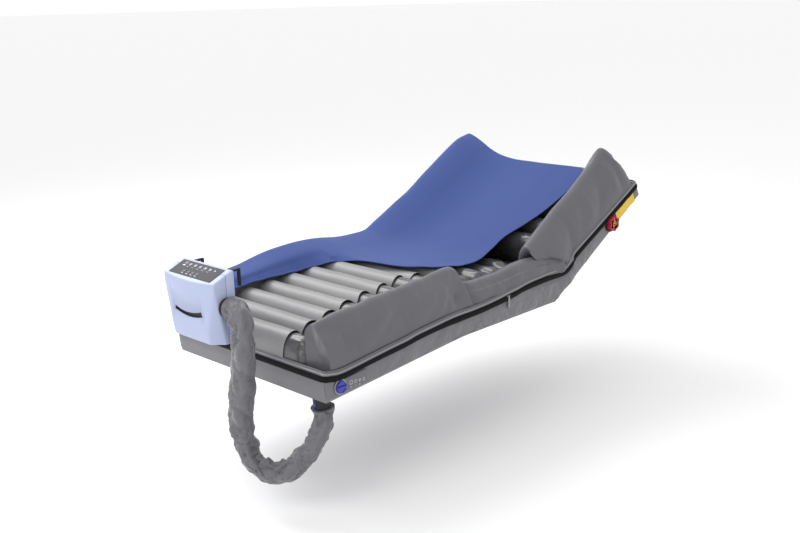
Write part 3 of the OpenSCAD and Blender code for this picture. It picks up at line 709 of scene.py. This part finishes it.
tray_foot = tray_half("tray_foot", [
    calf_wall(-0.744, 0.104, 0), calf_wall(-0.66, 0.090, 0), calf_wall(-0.54, 0.092, 0),
    calf_wall(-0.47, 0.094, 0.005),
    calf_wall(-0.37, 0.096, 0.007), calf_wall(-0.26, 0.101, 0.007), calf_wall(-0.15, 0.102, 0.005),
    (-0.36, -0.004, -0.36, 0.094, 0.006), (-0.29, 0.0, -0.29, 0.095, 0.004),
    (-0.21, 0.0, -0.21, 0.097, 0.007),
    (-0.08, 0.0, -0.08, 0.106, 0.007), (MIDDLE, 0.0, MIDDLE, 0.115, 0.006),
], 11, 230)
tray_head = tray_half("tray_head", [
    (MIDDLE, 0.0, MIDDLE, 0.115, 0.006), (0.10, 0.0, 0.10, 0.125, 0.007), (0.20, 0.0, 0.20, 0.130, 0.006),
    (0.27, 0.0, 0.285, 0.130, 0.004), (0.29, 0.0, 0.330, 0.131, 0.005), back_wall(0.06, 0.362, 0.142, 0.008),
    back_wall(0.13, 0.392, 0.165, 0.008), back_wall(0.21, 0.424, 0.193, 0.006),
    back_wall(0.30, 0.500, 0.232, 0.004),
    back_wall(0.40, 0.587, 0.276, 0), back_wall(0.55, 0.724, 0.344, 0), back_wall(0.67, 0.831, 0.400, 0),
    back_wall(0.719, 0.877, 0.4245, 0),
], 11, 260)
blend_over_knee(tray_foot)
blend_over_hip(tray_head)
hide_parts("calf_base", "seat_base")
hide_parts("back_base")

for name, body, place, top, face, inside in (
    ("tray_foot_end", "calf", on_calf, 0.104, -0.744, -0.732),
    ("tray_head_end", "back", on_back, 0.072, 0.719, 0.707),
):
    bowed = face + 0.003 * (1 if face > 0 else -1)
    outline = [(face, 0.004), (bowed, top / 2), (face, top - 0.004), ((face + inside) / 2, top + 0.003),
               (inside, top - 0.004), (inside, 0.004), (face, 0.004)]
    loop = evenly(outline, 33)[0][:-1]
    rings = []
    for k in range(121):
        y = -0.437 + 0.874 * k / 120
        sag = 0.004 * noise.noise(Vector((y * 9, top * 30, 0)))
        ring = []
        for s_at, n_at in loop:
            x, z = place(s_at + sag * sin(pi * n_at / top) * 0.6, n_at)
            ring.append((x, y, z))
        rings.append(ring)
    wall = skin(name, rings, caps=True)
    outward(wall)
    dress(wall, tray_finish, body)

# The perimeter zip: a black woven tape with a moulded coil, sewn to the tray's rim all the way round.
# A narrow flap of the side fabric, edged with a pale ribbed piping cord, hangs over it.
tape_finish = Finish("zip tape", (300, 2, 0.2, 0.6), Base_Color=(0.006, 0.006, 0.007, 1),
                     Specular_IOR_Level=0.12)
tape_finish.feed(Normal=tape_finish.bump(tape_finish.speckle(1500, 1), 0.4, 0.0005))
piping_finish = Finish("ribbed piping")
ribs_and_groove_shade = piping_finish.add("ShaderNodeTexWave", BANDS, out=1, Scale=55.0)
# The piping's colour is darker in the grooves between its ribs and paler on their crests: painted shade that
# follows the ribs' bump.
piping_finish.feed(Base_Color=piping_finish.blended(ribs_and_groove_shade, (0.16, 0.16, 0.175, 1), (0.34, 0.34, 0.36, 1)),
                   Roughness=ribs_and_groove_shade * 0.2 + 0.4)
piping_finish.feed(Normal=piping_finish.bump(ribs_and_groove_shade, 0.6, 0.002))
tape_foot = [(-1.031, 0.040), (-0.969, 0.033), (-0.819, 0.050), (-0.662, 0.064), (-0.552, 0.077),
             (-0.438, 0.085), (-0.320, 0.088), (-0.213, 0.091), (-0.082, 0.100), (MIDDLE, 0.109)]
tape_head = [(MIDDLE, 0.109), (0.054, 0.117), (0.195, 0.124), (0.300, 0.124), (0.345, 0.127), (0.377, 0.143),
             (0.400, 0.166), (0.423, 0.187), (0.571, 0.262), (0.724, 0.339), (0.868, 0.412)]
pipe_foot = [(-1.032, 0.056), (-0.969, 0.049), (-0.840, 0.061), (-0.746, 0.071), (-0.640, 0.081),
             (-0.573, 0.090), (-0.391, 0.105), (-0.230, 0.108), (-0.110, 0.116), (MIDDLE, 0.128)]
pipe_head = [(MIDDLE, 0.128), (0.090, 0.139), (0.205, 0.145), (0.290, 0.144), (0.335, 0.144), (0.358, 0.156),
             (0.381, 0.178), (0.408, 0.203), (0.562, 0.281), (0.714, 0.357), (0.857, 0.429)]


def rim(line, y, foot):
    """The line on the near side from mid-seat, round the tray's foot or head end and back on the far side."""
    side_line = evenly(smooth_line(line, 12), 130)[0]
    if foot:
        side_line = side_line[::-1]
    near = [(x, -y, z) for x, z in side_line]
    slope = (side_line[-1] - side_line[-4]) / np.linalg.norm(side_line[-1] - side_line[-4])
    turn = []
    r = 0.018  # of the corner
    for k in range(1, 8):
        a = pi / 2 * k / 7
        x, z = side_line[-1] + slope * r * sin(a)
        turn.append((x, -y + r * (1 - cos(a)), z))
    x, z = side_line[-1] + slope * r
    straight = [(x, -y + r + (2 * y - 2 * r) * k / 90, z) for k in range(1, 90)]
    back = [(a, -b, c) for a, b, c in (near + turn)[::-1]]
    path = evenly(near + turn + straight + back, 460)[0]
    run = np.gradient(path, axis=0)
    run /= np.linalg.norm(run, axis=1)[:, None]
    up = np.array((-slope[1], 0, slope[0]))
    up = up if up[2] > 0 else -up
    outs = np.cross(run, np.tile(up, (len(path), 1)))
    outs *= np.sign((outs * (path - path.mean(0))).sum(1))[:, None]
    outs /= np.linalg.norm(outs, axis=1)[:, None]
    return path, outs


TAPE_SECTION = [(-0.004, -0.014), (0.003, -0.014), (0.006, -0.010), (0.007, -0.003), (0.0085, 0.0),
                (0.007, 0.003), (0.006, 0.006), (0.002, 0.009), (-0.004, 0.009)]
FLAP_SECTION = [(-0.0070, 0.010), (-0.0012, 0.002), (0.0012, -0.002), (0.0018, -0.006), (0.0008, -0.0065),
                (-0.0010, -0.002), (-0.0080, 0.008)]
zips = []
for part, tape_line, pipe_line in (("foot", tape_foot, pipe_foot), ("head", tape_head, pipe_head)):
    path, outs = rim(tape_line, 0.4475, part == "foot")
    tape = strip("zip_tape_" + part, path, outs, TAPE_SECTION)
    path, outs = rim(pipe_line, 0.4535, part == "foot")
    wave = np.array([0.0016 * noise.noise(Vector(p) * 14) for p in path])
    path = path + outs * wave[:, None]
    pipe = strip("zip_piping_" + part, path, outs, oval(0.0055, 0.0060, 14))
    flap = strip("zip_flap_" + part, path, outs, FLAP_SECTION)
    zips += [tape, pipe, flap]
    for piece, finish in ((tape, tape_finish), (pipe, piping_finish), (flap, side_finish)):
        dress(piece, finish)
blend_over_knee(*zips[:3])
blend_over_hip(*zips[3:])
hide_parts("calf_zip", "seat_zip")
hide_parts("back_zip")

# The air cells: tubes of coated nylon lying across the bed, gathered to a pucker at each end.
# Over the calves each has a pale glossy outer sleeve, open towards the near side. At the hip they lie slack.
CELL_FOOT, CELL_REACH = 0.014, 0.333
cell_finish = Finish("cell nylon", Coat_Weight=0.25, Coat_Roughness=0.2)
cell_patch = cell_finish.speckle(7, 3)
cell_finish.feed(Base_Color=cell_finish.blended(cell_patch, (0.045, 0.044, 0.048, 1),
(0.085, 0.083, 0.089, 1)),
                 Roughness=cell_patch * 0.15 + 0.2)
cell_wrinkle = cell_finish.speckle(30, 4, 0.6, cell_finish.stretched(1, 0.35, 1))
cell_finish.feed(Normal=cell_finish.bump(cell_finish.speckle(900, 1), 0.15, 0.0003,
                                         cell_finish.bump(cell_wrinkle, 0.3, 0.007)))
sleeve_film = Finish("pale cell sleeve", Specular_IOR_Level=0.45)
film_patch = sleeve_film.speckle(9, 2, 0.5, sleeve_film.stretched(1, 0.3, 1))
sleeve_film.feed(Base_Color=sleeve_film.blended(film_patch, (0.19, 0.187, 0.19, 1), (0.29, 0.285, 0.29, 1)),
                 Roughness=film_patch * 0.12 + 0.36)
film_wrinkle = sleeve_film.speckle(18, 3, 0.5, sleeve_film.stretched(1, 0.25, 1))
sleeve_film.feed(Normal=sleeve_film.bump(film_wrinkle, 0.22, 0.006))


def boxy_round(a, half, rise):
    """A point of a cell's outline, a rounded box: how far along the bed and how far above the middle."""
    c, v = cos(a), sin(a)
    return abs(c) ** 0.9 * (1 if c > 0 else -1) * half, abs(v) ** 0.80 * (1 if v > 0 else -1) * rise


def cell(name, place, middle, half, top, body, slack, seed):
    """A tube across the bed: place turns a distance along its section and a height into (x, z)."""
    rise = (top - CELL_FOOT) / 2
    rows, around = 110, 64
    rings = []
    for i in range(rows):
        y = -CELL_REACH + 2 * CELL_REACH * i / (rows - 1)
        from_end = CELL_REACH - abs(y)
        share = min(1.0, from_end / 0.045)
        girth = 0.24 + 0.76 * (1 - (1 - share) ** 2.4) ** 0.55
        pucker = max(0.0, 1 - from_end / 0.085)
        ring = []
        for k in range(around):
            a = 2 * pi * k / around
            u, w = boxy_round(a, half, rise)
            uneven = seed + 3 * noise.noise(Vector((a, y * 20, seed)))
            pleats = 0.13 * (0.5 + 0.5 * sin(a * 11 + uneven)) + 0.05 * sin(a * 5 + seed * 2)
            sag = slack * (creases((u * 9 + seed, y * 7, w * 9), seed, 1.0, 3) - 0.35)
            swell = 0.0018 * noise.noise(Vector((u * 20, y * 7 + seed, w * 20)))
            sunk = 0.018 * slack if w > 0 else 0
            r = girth * (1 - pucker * pleats)
            x, z = place(middle + u * r + swell, CELL_FOOT + rise + w * r * (1 - sag) + swell - sunk)
            ring.append((x, y, z))
        rings.append(ring)
    piece = skin(name, rings, caps=True)
    outward(piece)
    dress(piece, cell_finish, body)
    return piece


def outer_sleeve(name, place, middle, half, top, body, near_end, seed):
    """A pale sleeve over a cell, open at its near end and below."""
    rows, count = 70, 44
    rise = (top - CELL_FOOT) / 2
    grid = []
    for i in range(rows):
        y = near_end + (0.325 - near_end) * i / (rows - 1)
        flare = 0.003 * exp(-(y - near_end) / 0.02)
        row = []
        for k in range(count):
            a = radians(-38) + radians(256) * k / (count - 1)
            wave = 0.002 * noise.noise(Vector((cos(a) * 1.5, y * 8 + seed, sin(a) * 1.5)))
            wave += 0.0015 * sin(3 * a + seed) * exp(-(y - near_end) / 0.03)
            u, w = boxy_round(a, half - 0.001, rise + 0.0035 + flare)
            x, z = place(middle + u + 0.4 * wave, CELL_FOOT + rise + w + wave)
            row.append((x, y + 0.006 * sin(a * 2 + seed) * exp(-(y - near_end) / 0.02), z))
        grid.append(row)
    piece = skin(name, grid, closed=False)
    thicken(piece, 0.0018)
    dress(piece, sleeve_film, body)
    spread(piece, np.array(grid), "stretched", [name.replace("sleeve", "tube")])


def on_seat(s, n):
    return s, n


calf_near_ends = (-0.225, -0.205, -0.190, -0.170, -0.155, -0.145, -0.130)
for k, near_end in enumerate(calf_near_ends, 1):
    middle = -CALF_L + (k - 0.5) * CALF_L / 7
    tube = cell(f"calf_tube_{k}", on_calf, middle, 0.0495, 0.205, "calf", 0, k)
    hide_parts(f"calf_cell_{k}")
    outer_sleeve(f"calf_sleeve_{k}", on_calf, middle, 0.0525, 0.207, "calf", near_end, k)
seat_near_ends = {1: -0.120, 2: -0.150}
seat_slack = (0.10, 0.10, 0.10, 0.22, 0.22, 0.5)
for k, slack in enumerate(seat_slack, 1):
    middle = KNEE_X + (k - 0.5) * (HIP_X - KNEE_X) / 6
    half, top = (0.043, 0.135) if k == 6 else (0.0468, 0.186 - 0.006 * (k > 3))
    tube = cell(f"seat_tube_{k}", on_seat, middle, half, top, "seat", slack, 20 + k)
    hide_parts(f"seat_cell_{k}")
    if k in seat_near_ends:
        outer_sleeve(f"seat_sleeve_{k}", on_seat, middle, 0.0472, 0.184, "seat", seat_near_ends[k], 20 + k)
back_tops = (0.125, 0.215, 0.218, 0.219, 0.219, 0.205, 0.165)
back_slack = (0.5, 0.12, 0.12, 0.05, 0.05, 0.05, 0.05)
for k, (top, slack) in enumerate(zip(back_tops, back_slack), 1):
    middle = (k - 0.5) * BACK_L / 7
    tube = cell(f"back_tube_{k}", on_back, middle, 0.040 if k == 1 else 0.0497, top, "back", slack, 30 + k)
    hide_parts(f"back_cell_{k}")

# The pump's case: two moulded shells in pale blue, the front one bowed, with a shallow curved grip across it.
# Its corners are cut back in long triangles that widen downwards, and a seam runs where the shells meet.
PUMP = Vector((-1.145, 0.046, 0.130))
CASE_DEPTH, CASE_WIDTH, CASE_HEIGHT = 0.106, 0.305, 0.265
TOP_EDGE = PUMP + Vector((-0.012, 0, CASE_HEIGHT))
SLOPE = atan(37 / 88)


def edit(piece):
    """Starts work on one piece's mesh, with all of it selected."""
    bpy.ops.object.select_all(action="DESELECT")
    bpy.context.view_layer.objects.active = piece
    piece.select_set(True)
    bpy.ops.object.mode_set(mode="EDIT")
    bpy.ops.mesh.select_all(action="SELECT")


def choose(piece, wanted, kind="VERT"):
    """Selects the vertices or faces of the piece in edit mode for which wanted(centre, normal) is true."""
    bpy.ops.mesh.select_mode(type=kind)
    bpy.ops.mesh.select_all(action="DESELECT")
    bpy.ops.object.mode_set(mode="OBJECT")
    for part in piece.data.vertices if kind == "VERT" else piece.data.polygons:
        part.select = bool(wanted(part.co if kind == "VERT" else part.center, part.normal))
    bpy.ops.object.mode_set(mode="EDIT")


def done(piece, angle=32):
    """Leaves the mesh with its faces outward and its edges crisp above an angle."""
    bpy.ops.mesh.select_all(action="SELECT")
    bpy.ops.mesh.normals_make_consistent(inside=False)
    bpy.ops.object.mode_set(mode="OBJECT")
    bpy.ops.object.shade_smooth_by_angle(angle=radians(angle))
    piece.select_set(False)


def cut(point, normal, keep_both=False):
    """Cuts the mesh in edit mode by a plane, and removes what is in front of it unless both halves stay."""
    bpy.ops.mesh.select_all(action="SELECT")
    bpy.ops.mesh.bisect(plane_co=point, plane_no=normal, clear_outer=not keep_both, use_fill=not keep_both)


def soften(angle, width, segments, clamp_overlap=False):
    """Rounds the edges of the mesh in edit mode that are sharper than an angle."""
    bpy.ops.mesh.select_mode(type="EDGE")
    bpy.ops.mesh.select_all(action="DESELECT")
    bpy.ops.mesh.edges_select_sharp(sharpness=radians(angle))
    bpy.ops.mesh.bevel(offset=width, segments=segments, clamp_overlap=clamp_overlap)


def started(name, add_shape, **sizes):
    """A new piece from one of Blender's basic shapes, at the origin and ready to edit."""
    bpy.ops.object.select_all(action="DESELECT")
    add_shape(**sizes)
    piece = bpy.context.object
    piece.name = name
    edit(piece)
    return piece


front_shell = started("pump_front_shell", bpy.ops.mesh.primitive_cube_add, size=1)
bpy.ops.transform.resize(value=(CASE_DEPTH, CASE_WIDTH, CASE_HEIGHT))
bpy.ops.transform.translate(value=PUMP + Vector((-CASE_DEPTH / 2, 0, CASE_HEIGHT / 2)))
bow_lines = (-0.115, -0.077, -0.038, 0, 0.038, 0.077, 0.115)
for y in bow_lines:
    cut(PUMP + Vector((0, y, 0)), (0, 1, 0), keep_both=True)
for y in (-CASE_WIDTH / 2, *bow_lines, CASE_WIDTH / 2):
    choose(front_shell, lambda p, n: p.x < PUMP.x - 0.1 and abs(p.y - PUMP.y - y) < 0.003)
    bpy.ops.transform.translate(value=(0.013 * (y / (CASE_WIDTH / 2)) ** 2, 0, 0))
cut(TOP_EDGE, (-sin(SLOPE), 0, cos(SLOPE)))
cut(PUMP + Vector((-0.104, 0, 0.07)), (-cos(radians(9)), 0, -sin(radians(9))))
for way in (-1, 1):
    tip = Vector((-0.096, way * 0.1535, 0.232))
    foot_front, foot_side = Vector((-0.092, way * 0.108, 0)), Vector((-0.050, way * 0.1535, 0))
    slant = (foot_front - tip).cross(foot_side - tip).normalized()
    slant = slant if slant.x < 0 else -slant
    cut(PUMP + tip, slant)
soften(16, 0.015, 5, clamp_overlap=True)
bpy.ops.mesh.select_all(action="SELECT")
bpy.ops.mesh.remove_doubles(threshold=0.0002)
bpy.ops.object.mode_set(mode="OBJECT")
back_shell = front_shell.copy()
back_shell.data = front_shell.data.copy()
back_shell.name = "pump_back_shell"
bpy.context.collection.objects.link(back_shell)
case_finish = Finish("moulded case", (40, 2, 0.08, 0.38))
case_finish.feed(Base_Color=case_finish.blended(
    case_finish.speckle(5), (0.365, 0.415, 0.590, 1), (0.385, 0.435, 0.615, 1)))
case_finish.feed(Normal=case_finish.bump(case_finish.speckle(700, 1), 0.06, 0.0003))
SEAM_X = -0.038
for shell, way in ((front_shell, 1), (back_shell, -1)):
    edit(shell)
    cut(PUMP + Vector((SEAM_X - 0.0006 * way, 0, 0)), (way, 0, 0))
    choose(shell, lambda p, n: abs(n.x) > 0.95 and abs(p.x - PUMP.x - SEAM_X) < 0.002, "FACE")
    bpy.ops.mesh.bevel(offset=0.0012, segments=2)
    done(shell, 24)
    dress(shell, case_finish, "seat")

# The grip: a curved slot moulded into the front shell, with a near-black liner at its back as painted shade
# in the hollow.
# A bar swept on an arc cuts the slot, and drawn back into the case and painted near-black it becomes that
# liner.
GRIP = PUMP + Vector((-CASE_DEPTH, 0, 0.098))
ARC_MIDDLE = GRIP + Vector((0, 0, 0.27))
cutter = started("grip_hollow", bpy.ops.mesh.primitive_plane_add, size=1)
bpy.ops.transform.rotate(value=radians(90), orient_axis="X")
bpy.ops.transform.resize(value=(0.040, 1, 0.019))
bpy.ops.transform.translate(value=GRIP)
bpy.ops.mesh.spin(steps=22, angle=radians(36), center=ARC_MIDDLE, axis=(1, 0, 0))
bpy.ops.mesh.select_all(action="SELECT")
bpy.ops.mesh.remove_doubles(threshold=0.00005)
bpy.ops.transform.rotate(value=-radians(18), orient_axis="X", center_override=ARC_MIDDLE)
done(cutter)
slot_cut = front_shell.modifiers.new("grip", "BOOLEAN")
slot_cut.operation, slot_cut.object, slot_cut.solver = "DIFFERENCE", cutter, "EXACT"
bpy.ops.object.select_all(action="DESELECT")
bpy.context.view_layer.objects.active = front_shell
front_shell.select_set(True)
bpy.ops.object.modifier_apply(modifier="grip")
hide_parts("pump_front")
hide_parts("pump_back")
# This near-black finish serves the dark fittings, and it also paints the shade in the grip's hollow.
dark_plastic_and_shade_finish = Finish("dark moulded plastic and painted shade", (60, 2, 0.12, 0.38), Base_Color=(0.012, 0.012, 0.014, 1),
                     Specular_IOR_Level=0.3)
dark_plastic_and_shade_finish.feed(Normal=dark_plastic_and_shade_finish.bump(dark_plastic_and_shade_finish.speckle(900, 1), 0.08, 0.0003))
edit(cutter)
bpy.ops.transform.resize(value=(1, 0.992, 0.96), center_override=GRIP)
bpy.ops.transform.translate(value=(0.029, 0, 0))
choose(cutter, lambda p, n: n.x < -0.9, "FACE")
bpy.ops.mesh.inset(thickness=0.0012)
bpy.ops.transform.translate(value=(0.004, 0, 0))
done(cutter)
# The liner is painted near-black, as painted shade in the grip's hollow.
dress(cutter, dark_plastic_and_shade_finish, "seat")

# The hooks' lugs on the case's back: pairs of short rounded brackets with a pin through them.
# They are moulded on the back shell, and the folding hooks turn on the pins.
lug_pieces = []
for y in (-0.110, 0.110):
    for z in (0.190, 0.232):
        lug = started("lug", bpy.ops.mesh.primitive_cylinder_add, vertices=32, radius=0.0065, depth=0.008)
        choose(lug, lambda p, n: n.x < -0.6 and abs(n.z) < 0.1, "FACE")
        bpy.ops.mesh.extrude_region_move(TRANSFORM_OT_translate={"value": (-0.010, 0, 0)})
        bpy.ops.transform.resize(value=(0.0, 1, 1), center_override=(-0.0105, 0, 0))
        bpy.ops.mesh.select_all(action="SELECT")
        bpy.ops.transform.translate(value=PUMP + Vector((0.009, y, z + 0.004)))
        done(lug)
        lug_pieces.append(lug)
    pin = started("pin", bpy.ops.mesh.primitive_cylinder_add, vertices=24, radius=0.003, depth=0.0525)
    choose(pin, lambda p, n: abs(n.z) > 0.9, "FACE")
    bpy.ops.mesh.bevel(offset=0.0006, segments=2)
    bpy.ops.mesh.select_all(action="SELECT")
    bpy.ops.transform.translate(value=PUMP + Vector((0.009, y, 0.215)))
    done(pin)
    lug_pieces.append(pin)
bpy.ops.object.select_all(action="DESELECT")
for lug in lug_pieces:
    lug.select_set(True)
bpy.context.view_layer.objects.active = lug_pieces[0]
bpy.ops.object.join()
lugs = bpy.context.object
lugs.name = "hook_lugs"
dress(lugs, case_finish, "seat")

# The control panel: a satin film on the case's sloping top, with pale generic pictograms printed on it.
# The four keys stand in its lower row, and their caps are of a film a shade lighter than the panel.
panel_finish = Finish("panel film", (200, 2, 0.1, 0.55), Specular_IOR_Level=0.15)
panel_finish.feed(Base_Color=panel_finish.blended(
    panel_finish.speckle(6), (0.060, 0.060, 0.070, 1), (0.075, 0.075, 0.086, 1)))
print_finish = Finish("white print", (90, 2, 0.1, 0.45), Base_Color=(0.72, 0.74, 0.78, 1))
key_finish = Finish("key film", (90, 2, 0.1, 0.36), Base_Color=(0.085, 0.085, 0.098, 1),
                    Specular_IOR_Level=0.2)
for k in range(1, 5):
    paint(bpy.data.objects[f"pump_button_{k}"], key_finish)
paint(bpy.data.objects["pump_panel"], panel_finish)


def pictograms(name, marks):
    """Flat printed marks in one piece: each is sides, x, y, radius, stroke (0 when filled) and stretch."""
    prints = started(name, bpy.ops.mesh.primitive_plane_add)
    bpy.ops.mesh.delete(type="VERT")
    for sides, x, y, radius, stroke, stretch in marks:
        bpy.ops.mesh.select_all(action="DESELECT")
        bpy.ops.mesh.primitive_circle_add(vertices=sides, radius=radius, fill_type="NGON", location=(x, y, 0))
        bpy.ops.transform.rotate(value=pi / sides, orient_axis="Z", center_override=(x, y, 0))
        bpy.ops.transform.resize(value=(1, stretch, 1), center_override=(x, y, 0))
        if stroke:
            bpy.ops.mesh.inset(thickness=stroke)
            bpy.ops.mesh.delete(type="FACE")
    bpy.ops.mesh.select_all(action="SELECT")
    bpy.ops.mesh.extrude_region_move(TRANSFORM_OT_translate={"value": (0, 0, 0.0004)})
    bpy.ops.mesh.select_all(action="SELECT")
    return prints


marks = []
for k in range(5):
    y = -0.060 + 0.030 * k
    inner = (4, -0.024, y, 0.0028, 0, 1) if k % 2 else (3, -0.024, y, 0.0030, 0, 1)
    marks += [(24, -0.024, y, 0.0062, 0.0013, 1), inner]
    marks += [(16, -0.038, y, 0.0014, 0, 1), (16, -0.038, y + 0.007, 0.0014, 0, 1)]
marks += [(4, -0.020, 0.088, 0.006, 0.0011, 1.5), (4, -0.034, 0.088, 0.0035, 0, 2.6),
          (3, -0.024, -0.088, 0.006, 0.0013, 1)]
marks += [(4, -0.073, -0.052 + 0.026 * k, 0.0018, 0, 3.4) for k in range(1, 5)]
panel_prints = pictograms("panel_prints", marks)
bpy.ops.transform.translate(value=(0, 0, 0.0021))
bpy.ops.transform.rotate(value=SLOPE, orient_axis="Y", center_override=(0, 0, 0))
bpy.ops.transform.translate(value=TOP_EDGE)
done(panel_prints)
dress(panel_prints, print_finish, "seat")

# The small fittings: hose collar, coupling, mains inlet, rocker, hooks, bezel, feet, compressor and slider.
# They are moulded in dark plastic, but for rubber feet, a cast compressor and a plated slider.
dark_nodes = ("pump_collar", "pump_inlet", "pump_switch", "hook_near", "hook_far", "hose_coupling",
              "cpr_bezel")
for name in dark_nodes:
    paint(bpy.data.objects[name], dark_plastic_and_shade_finish)
rubber_finish = Finish("foot rubber", (120, 2, 0.15, 0.7), Base_Color=(0.012, 0.012, 0.012, 1))
paint(bpy.data.objects["pump_feet"], rubber_finish)
cast_finish = Finish("cast aluminium", (150, 3, 0.2, 0.35), Base_Color=(0.42, 0.42, 0.44, 1), Metallic=0.9)
paint(bpy.data.objects["compressor"], cast_finish)
plated_finish = Finish("zip metal", (300, 2, 0.15, 0.3), Base_Color=(0.30, 0.30, 0.32, 1), Metallic=0.9)
paint(bpy.data.objects["zip_slider"], plated_finish)

# The collar's ring: a dark moulded bead round the mouth of the hose collar.
# It is turned from a small round section, and hides the joint between collar and sleeve.
RING_R = 0.0355
collar_ring = started("collar_ring", bpy.ops.mesh.primitive_circle_add, vertices=10, radius=0.0032)
bpy.ops.transform.translate(value=(RING_R, 0, 0))
bpy.ops.transform.rotate(value=radians(90), orient_axis="X", center_override=(RING_R, 0, 0))
bpy.ops.mesh.spin(steps=64, angle=2 * pi, center=(0, 0, 0), axis=(0, 0, 1))
bpy.ops.mesh.select_all(action="SELECT")
bpy.ops.mesh.remove_doubles(threshold=0.0003)
bpy.ops.transform.rotate(value=radians(90), orient_axis="X", center_override=(0, 0, 0))
bpy.ops.transform.translate(value=PUMP + Vector((-0.042, -0.1618, 0.138)))
done(collar_ring)
dress(collar_ring, dark_plastic_and_shade_finish, "seat")

# The transport knob: a glossy blue moulded disc with a raised grip bar, on a label plate by the foot corner.
# A white ring is printed round it, and plain pictograms stand beside it.
blue_finish = Finish("blue moulded", (80, 2, 0.1, 0.25), Base_Color=(0.030, 0.035, 0.36, 1), Coat_Weight=0.2)
knob_x, knob_z = on_calf(-0.681, 0.046)


def turned_onto(piece, slope, x, y, z):
    """Turns a piece made facing up so that it faces the near side, square to its section, and places it."""
    bpy.ops.mesh.select_all(action="SELECT")
    bpy.ops.transform.rotate(value=-radians(90), orient_axis="X", center_override=(0, 0, 0))
    bpy.ops.transform.rotate(value=-slope, orient_axis="Y", center_override=(0, 0, 0))
    bpy.ops.transform.translate(value=(x, y, z))
    done(piece)


knob = started("transport_knob_moulding", bpy.ops.mesh.primitive_cylinder_add,
               vertices=72, radius=0.022, depth=0.009)
bpy.ops.transform.translate(value=(0, 0, 0.0065))
choose(knob, lambda p, n: n.z > 0.9, "FACE")
bpy.ops.mesh.inset(thickness=0.003)
bpy.ops.mesh.extrude_region_move(TRANSFORM_OT_translate={"value": (0, 0, -0.003)})
bpy.ops.mesh.inset(thickness=0.0015)
soften(40, 0.0008, 3)
bpy.ops.mesh.select_all(action="DESELECT")
bpy.ops.mesh.primitive_cube_add(size=1, location=(0, 0, 0.0115))
bpy.ops.transform.resize(value=(0.036, 0.007, 0.008), center_override=(0, 0, 0.0115))
bpy.ops.mesh.bevel(offset=0.002, segments=3)
turned_onto(knob, CALF_SLOPE, knob_x, -HALF_W, knob_z)
dress(knob, blue_finish, "transport_knob")
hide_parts("transport_knob")
paint(bpy.data.objects["coupling_latch"], blue_finish)
label_finish = Finish("label film", (60, 2, 0.1, 0.3))
label_finish.feed(Base_Color=label_finish.blended(
    label_finish.speckle(5), (0.105, 0.105, 0.118, 1), (0.135, 0.135, 0.15, 1)))
paint(bpy.data.objects["knob_plate"], label_finish)
marks = [(48, 0, 0, 0.0275, 0.0011, 1), (4, 0.050, 0.006, 0.0095, 0.0010, 1),
         (24, 0.072, 0.006, 0.006, 0.0010, 1), (3, 0.092, 0.006, 0.007, 0.0010, 1),
         (4, 0.112, 0.006, 0.007, 0.0010, 1), (4, 0.072, -0.009, 0.0030, 0, 0.3),
         (4, 0.092, -0.009, 0.0045, 0, 0.25), (4, 0.050, -0.011, 0.0045, 0, 0.25)]
label_prints = pictograms("label_prints", marks)
turned_onto(label_prints, CALF_SLOPE, knob_x, -0.4472, knob_z)
dress(label_prints, print_finish, "calf")

# The emergency release: a red six-lobed knob on a dark bezel, with a yellow webbing tag beside it.
# The knob is moulded with a dished face, and a plain yellow ring and triangle are printed on it.
red_finish = Finish("red moulded", (80, 2, 0.1, 0.28), Base_Color=(0.46, 0.014, 0.035, 1), Coat_Weight=0.2)
cpr_x, cpr_z = on_back(0.475, 0.046)
cpr = started("release_knob_moulding", bpy.ops.mesh.primitive_cylinder_add,
              vertices=72, radius=0.033, depth=0.022)
bpy.ops.transform.translate(value=(0, 0, 0.0154))
for k in range(6):
    a = radians(30 + 60 * k)
    hollow = Vector((cos(a), sin(a), 0))
    choose(cpr, lambda p, n: (Vector((p.x, p.y, 0)) - hollow * 0.0325).length < 0.0085)
    bpy.ops.transform.translate(value=hollow * -0.0030)
choose(cpr, lambda p, n: n.z > 0.9, "FACE")
bpy.ops.mesh.inset(thickness=0.005)
bpy.ops.mesh.extrude_region_move(TRANSFORM_OT_translate={"value": (0, 0, -0.003)})
soften(50, 0.0006, 2)
turned_onto(cpr, BACK_RISE, cpr_x, -HALF_W, cpr_z)
dress(cpr, red_finish, "cpr_knob")
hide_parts("cpr_knob")
tag_finish = Finish("yellow webbing")
webbing = tag_finish.speckle(500, 1)
tag_finish.feed(
    Base_Color=tag_finish.blended(tag_finish.speckle(14), (0.66, 0.42, 0.025, 1), (0.78, 0.52, 0.04, 1)),
    Roughness=webbing * 0.2 + 0.4, Normal=tag_finish.bump(webbing, 0.3, 0.0004),
)
disc = pictograms("release_mark", [(32, 0, 0, 0.012, 0.0022, 1), (3, 0, 0, 0.0065, 0, 1)])
turned_onto(disc, BACK_RISE, cpr_x, -0.4688, cpr_z)
dress(disc, tag_finish, "cpr_knob")
grid = []
for i in range(49):
    share = i / 48
    row = []
    for k in range(15):
        n_at = 0.018 + 0.046 * k / 14 + 0.004 * sin(share * 5)
        x, z = on_back(0.520 + 0.150 * share, n_at)
        row.append((x, -0.4468 - 0.0022 * (1 + sin(share * 7 + k * 0.15)) - 0.004 * share * (k / 14), z))
    grid.append(row)
tag = skin("release_tag", grid, closed=False)
thicken(tag, 0.0016)
dress(tag, tag_finish, "back")
spread(tag, np.array(grid), "hung", ["tray_head"])
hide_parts("cpr_strap")
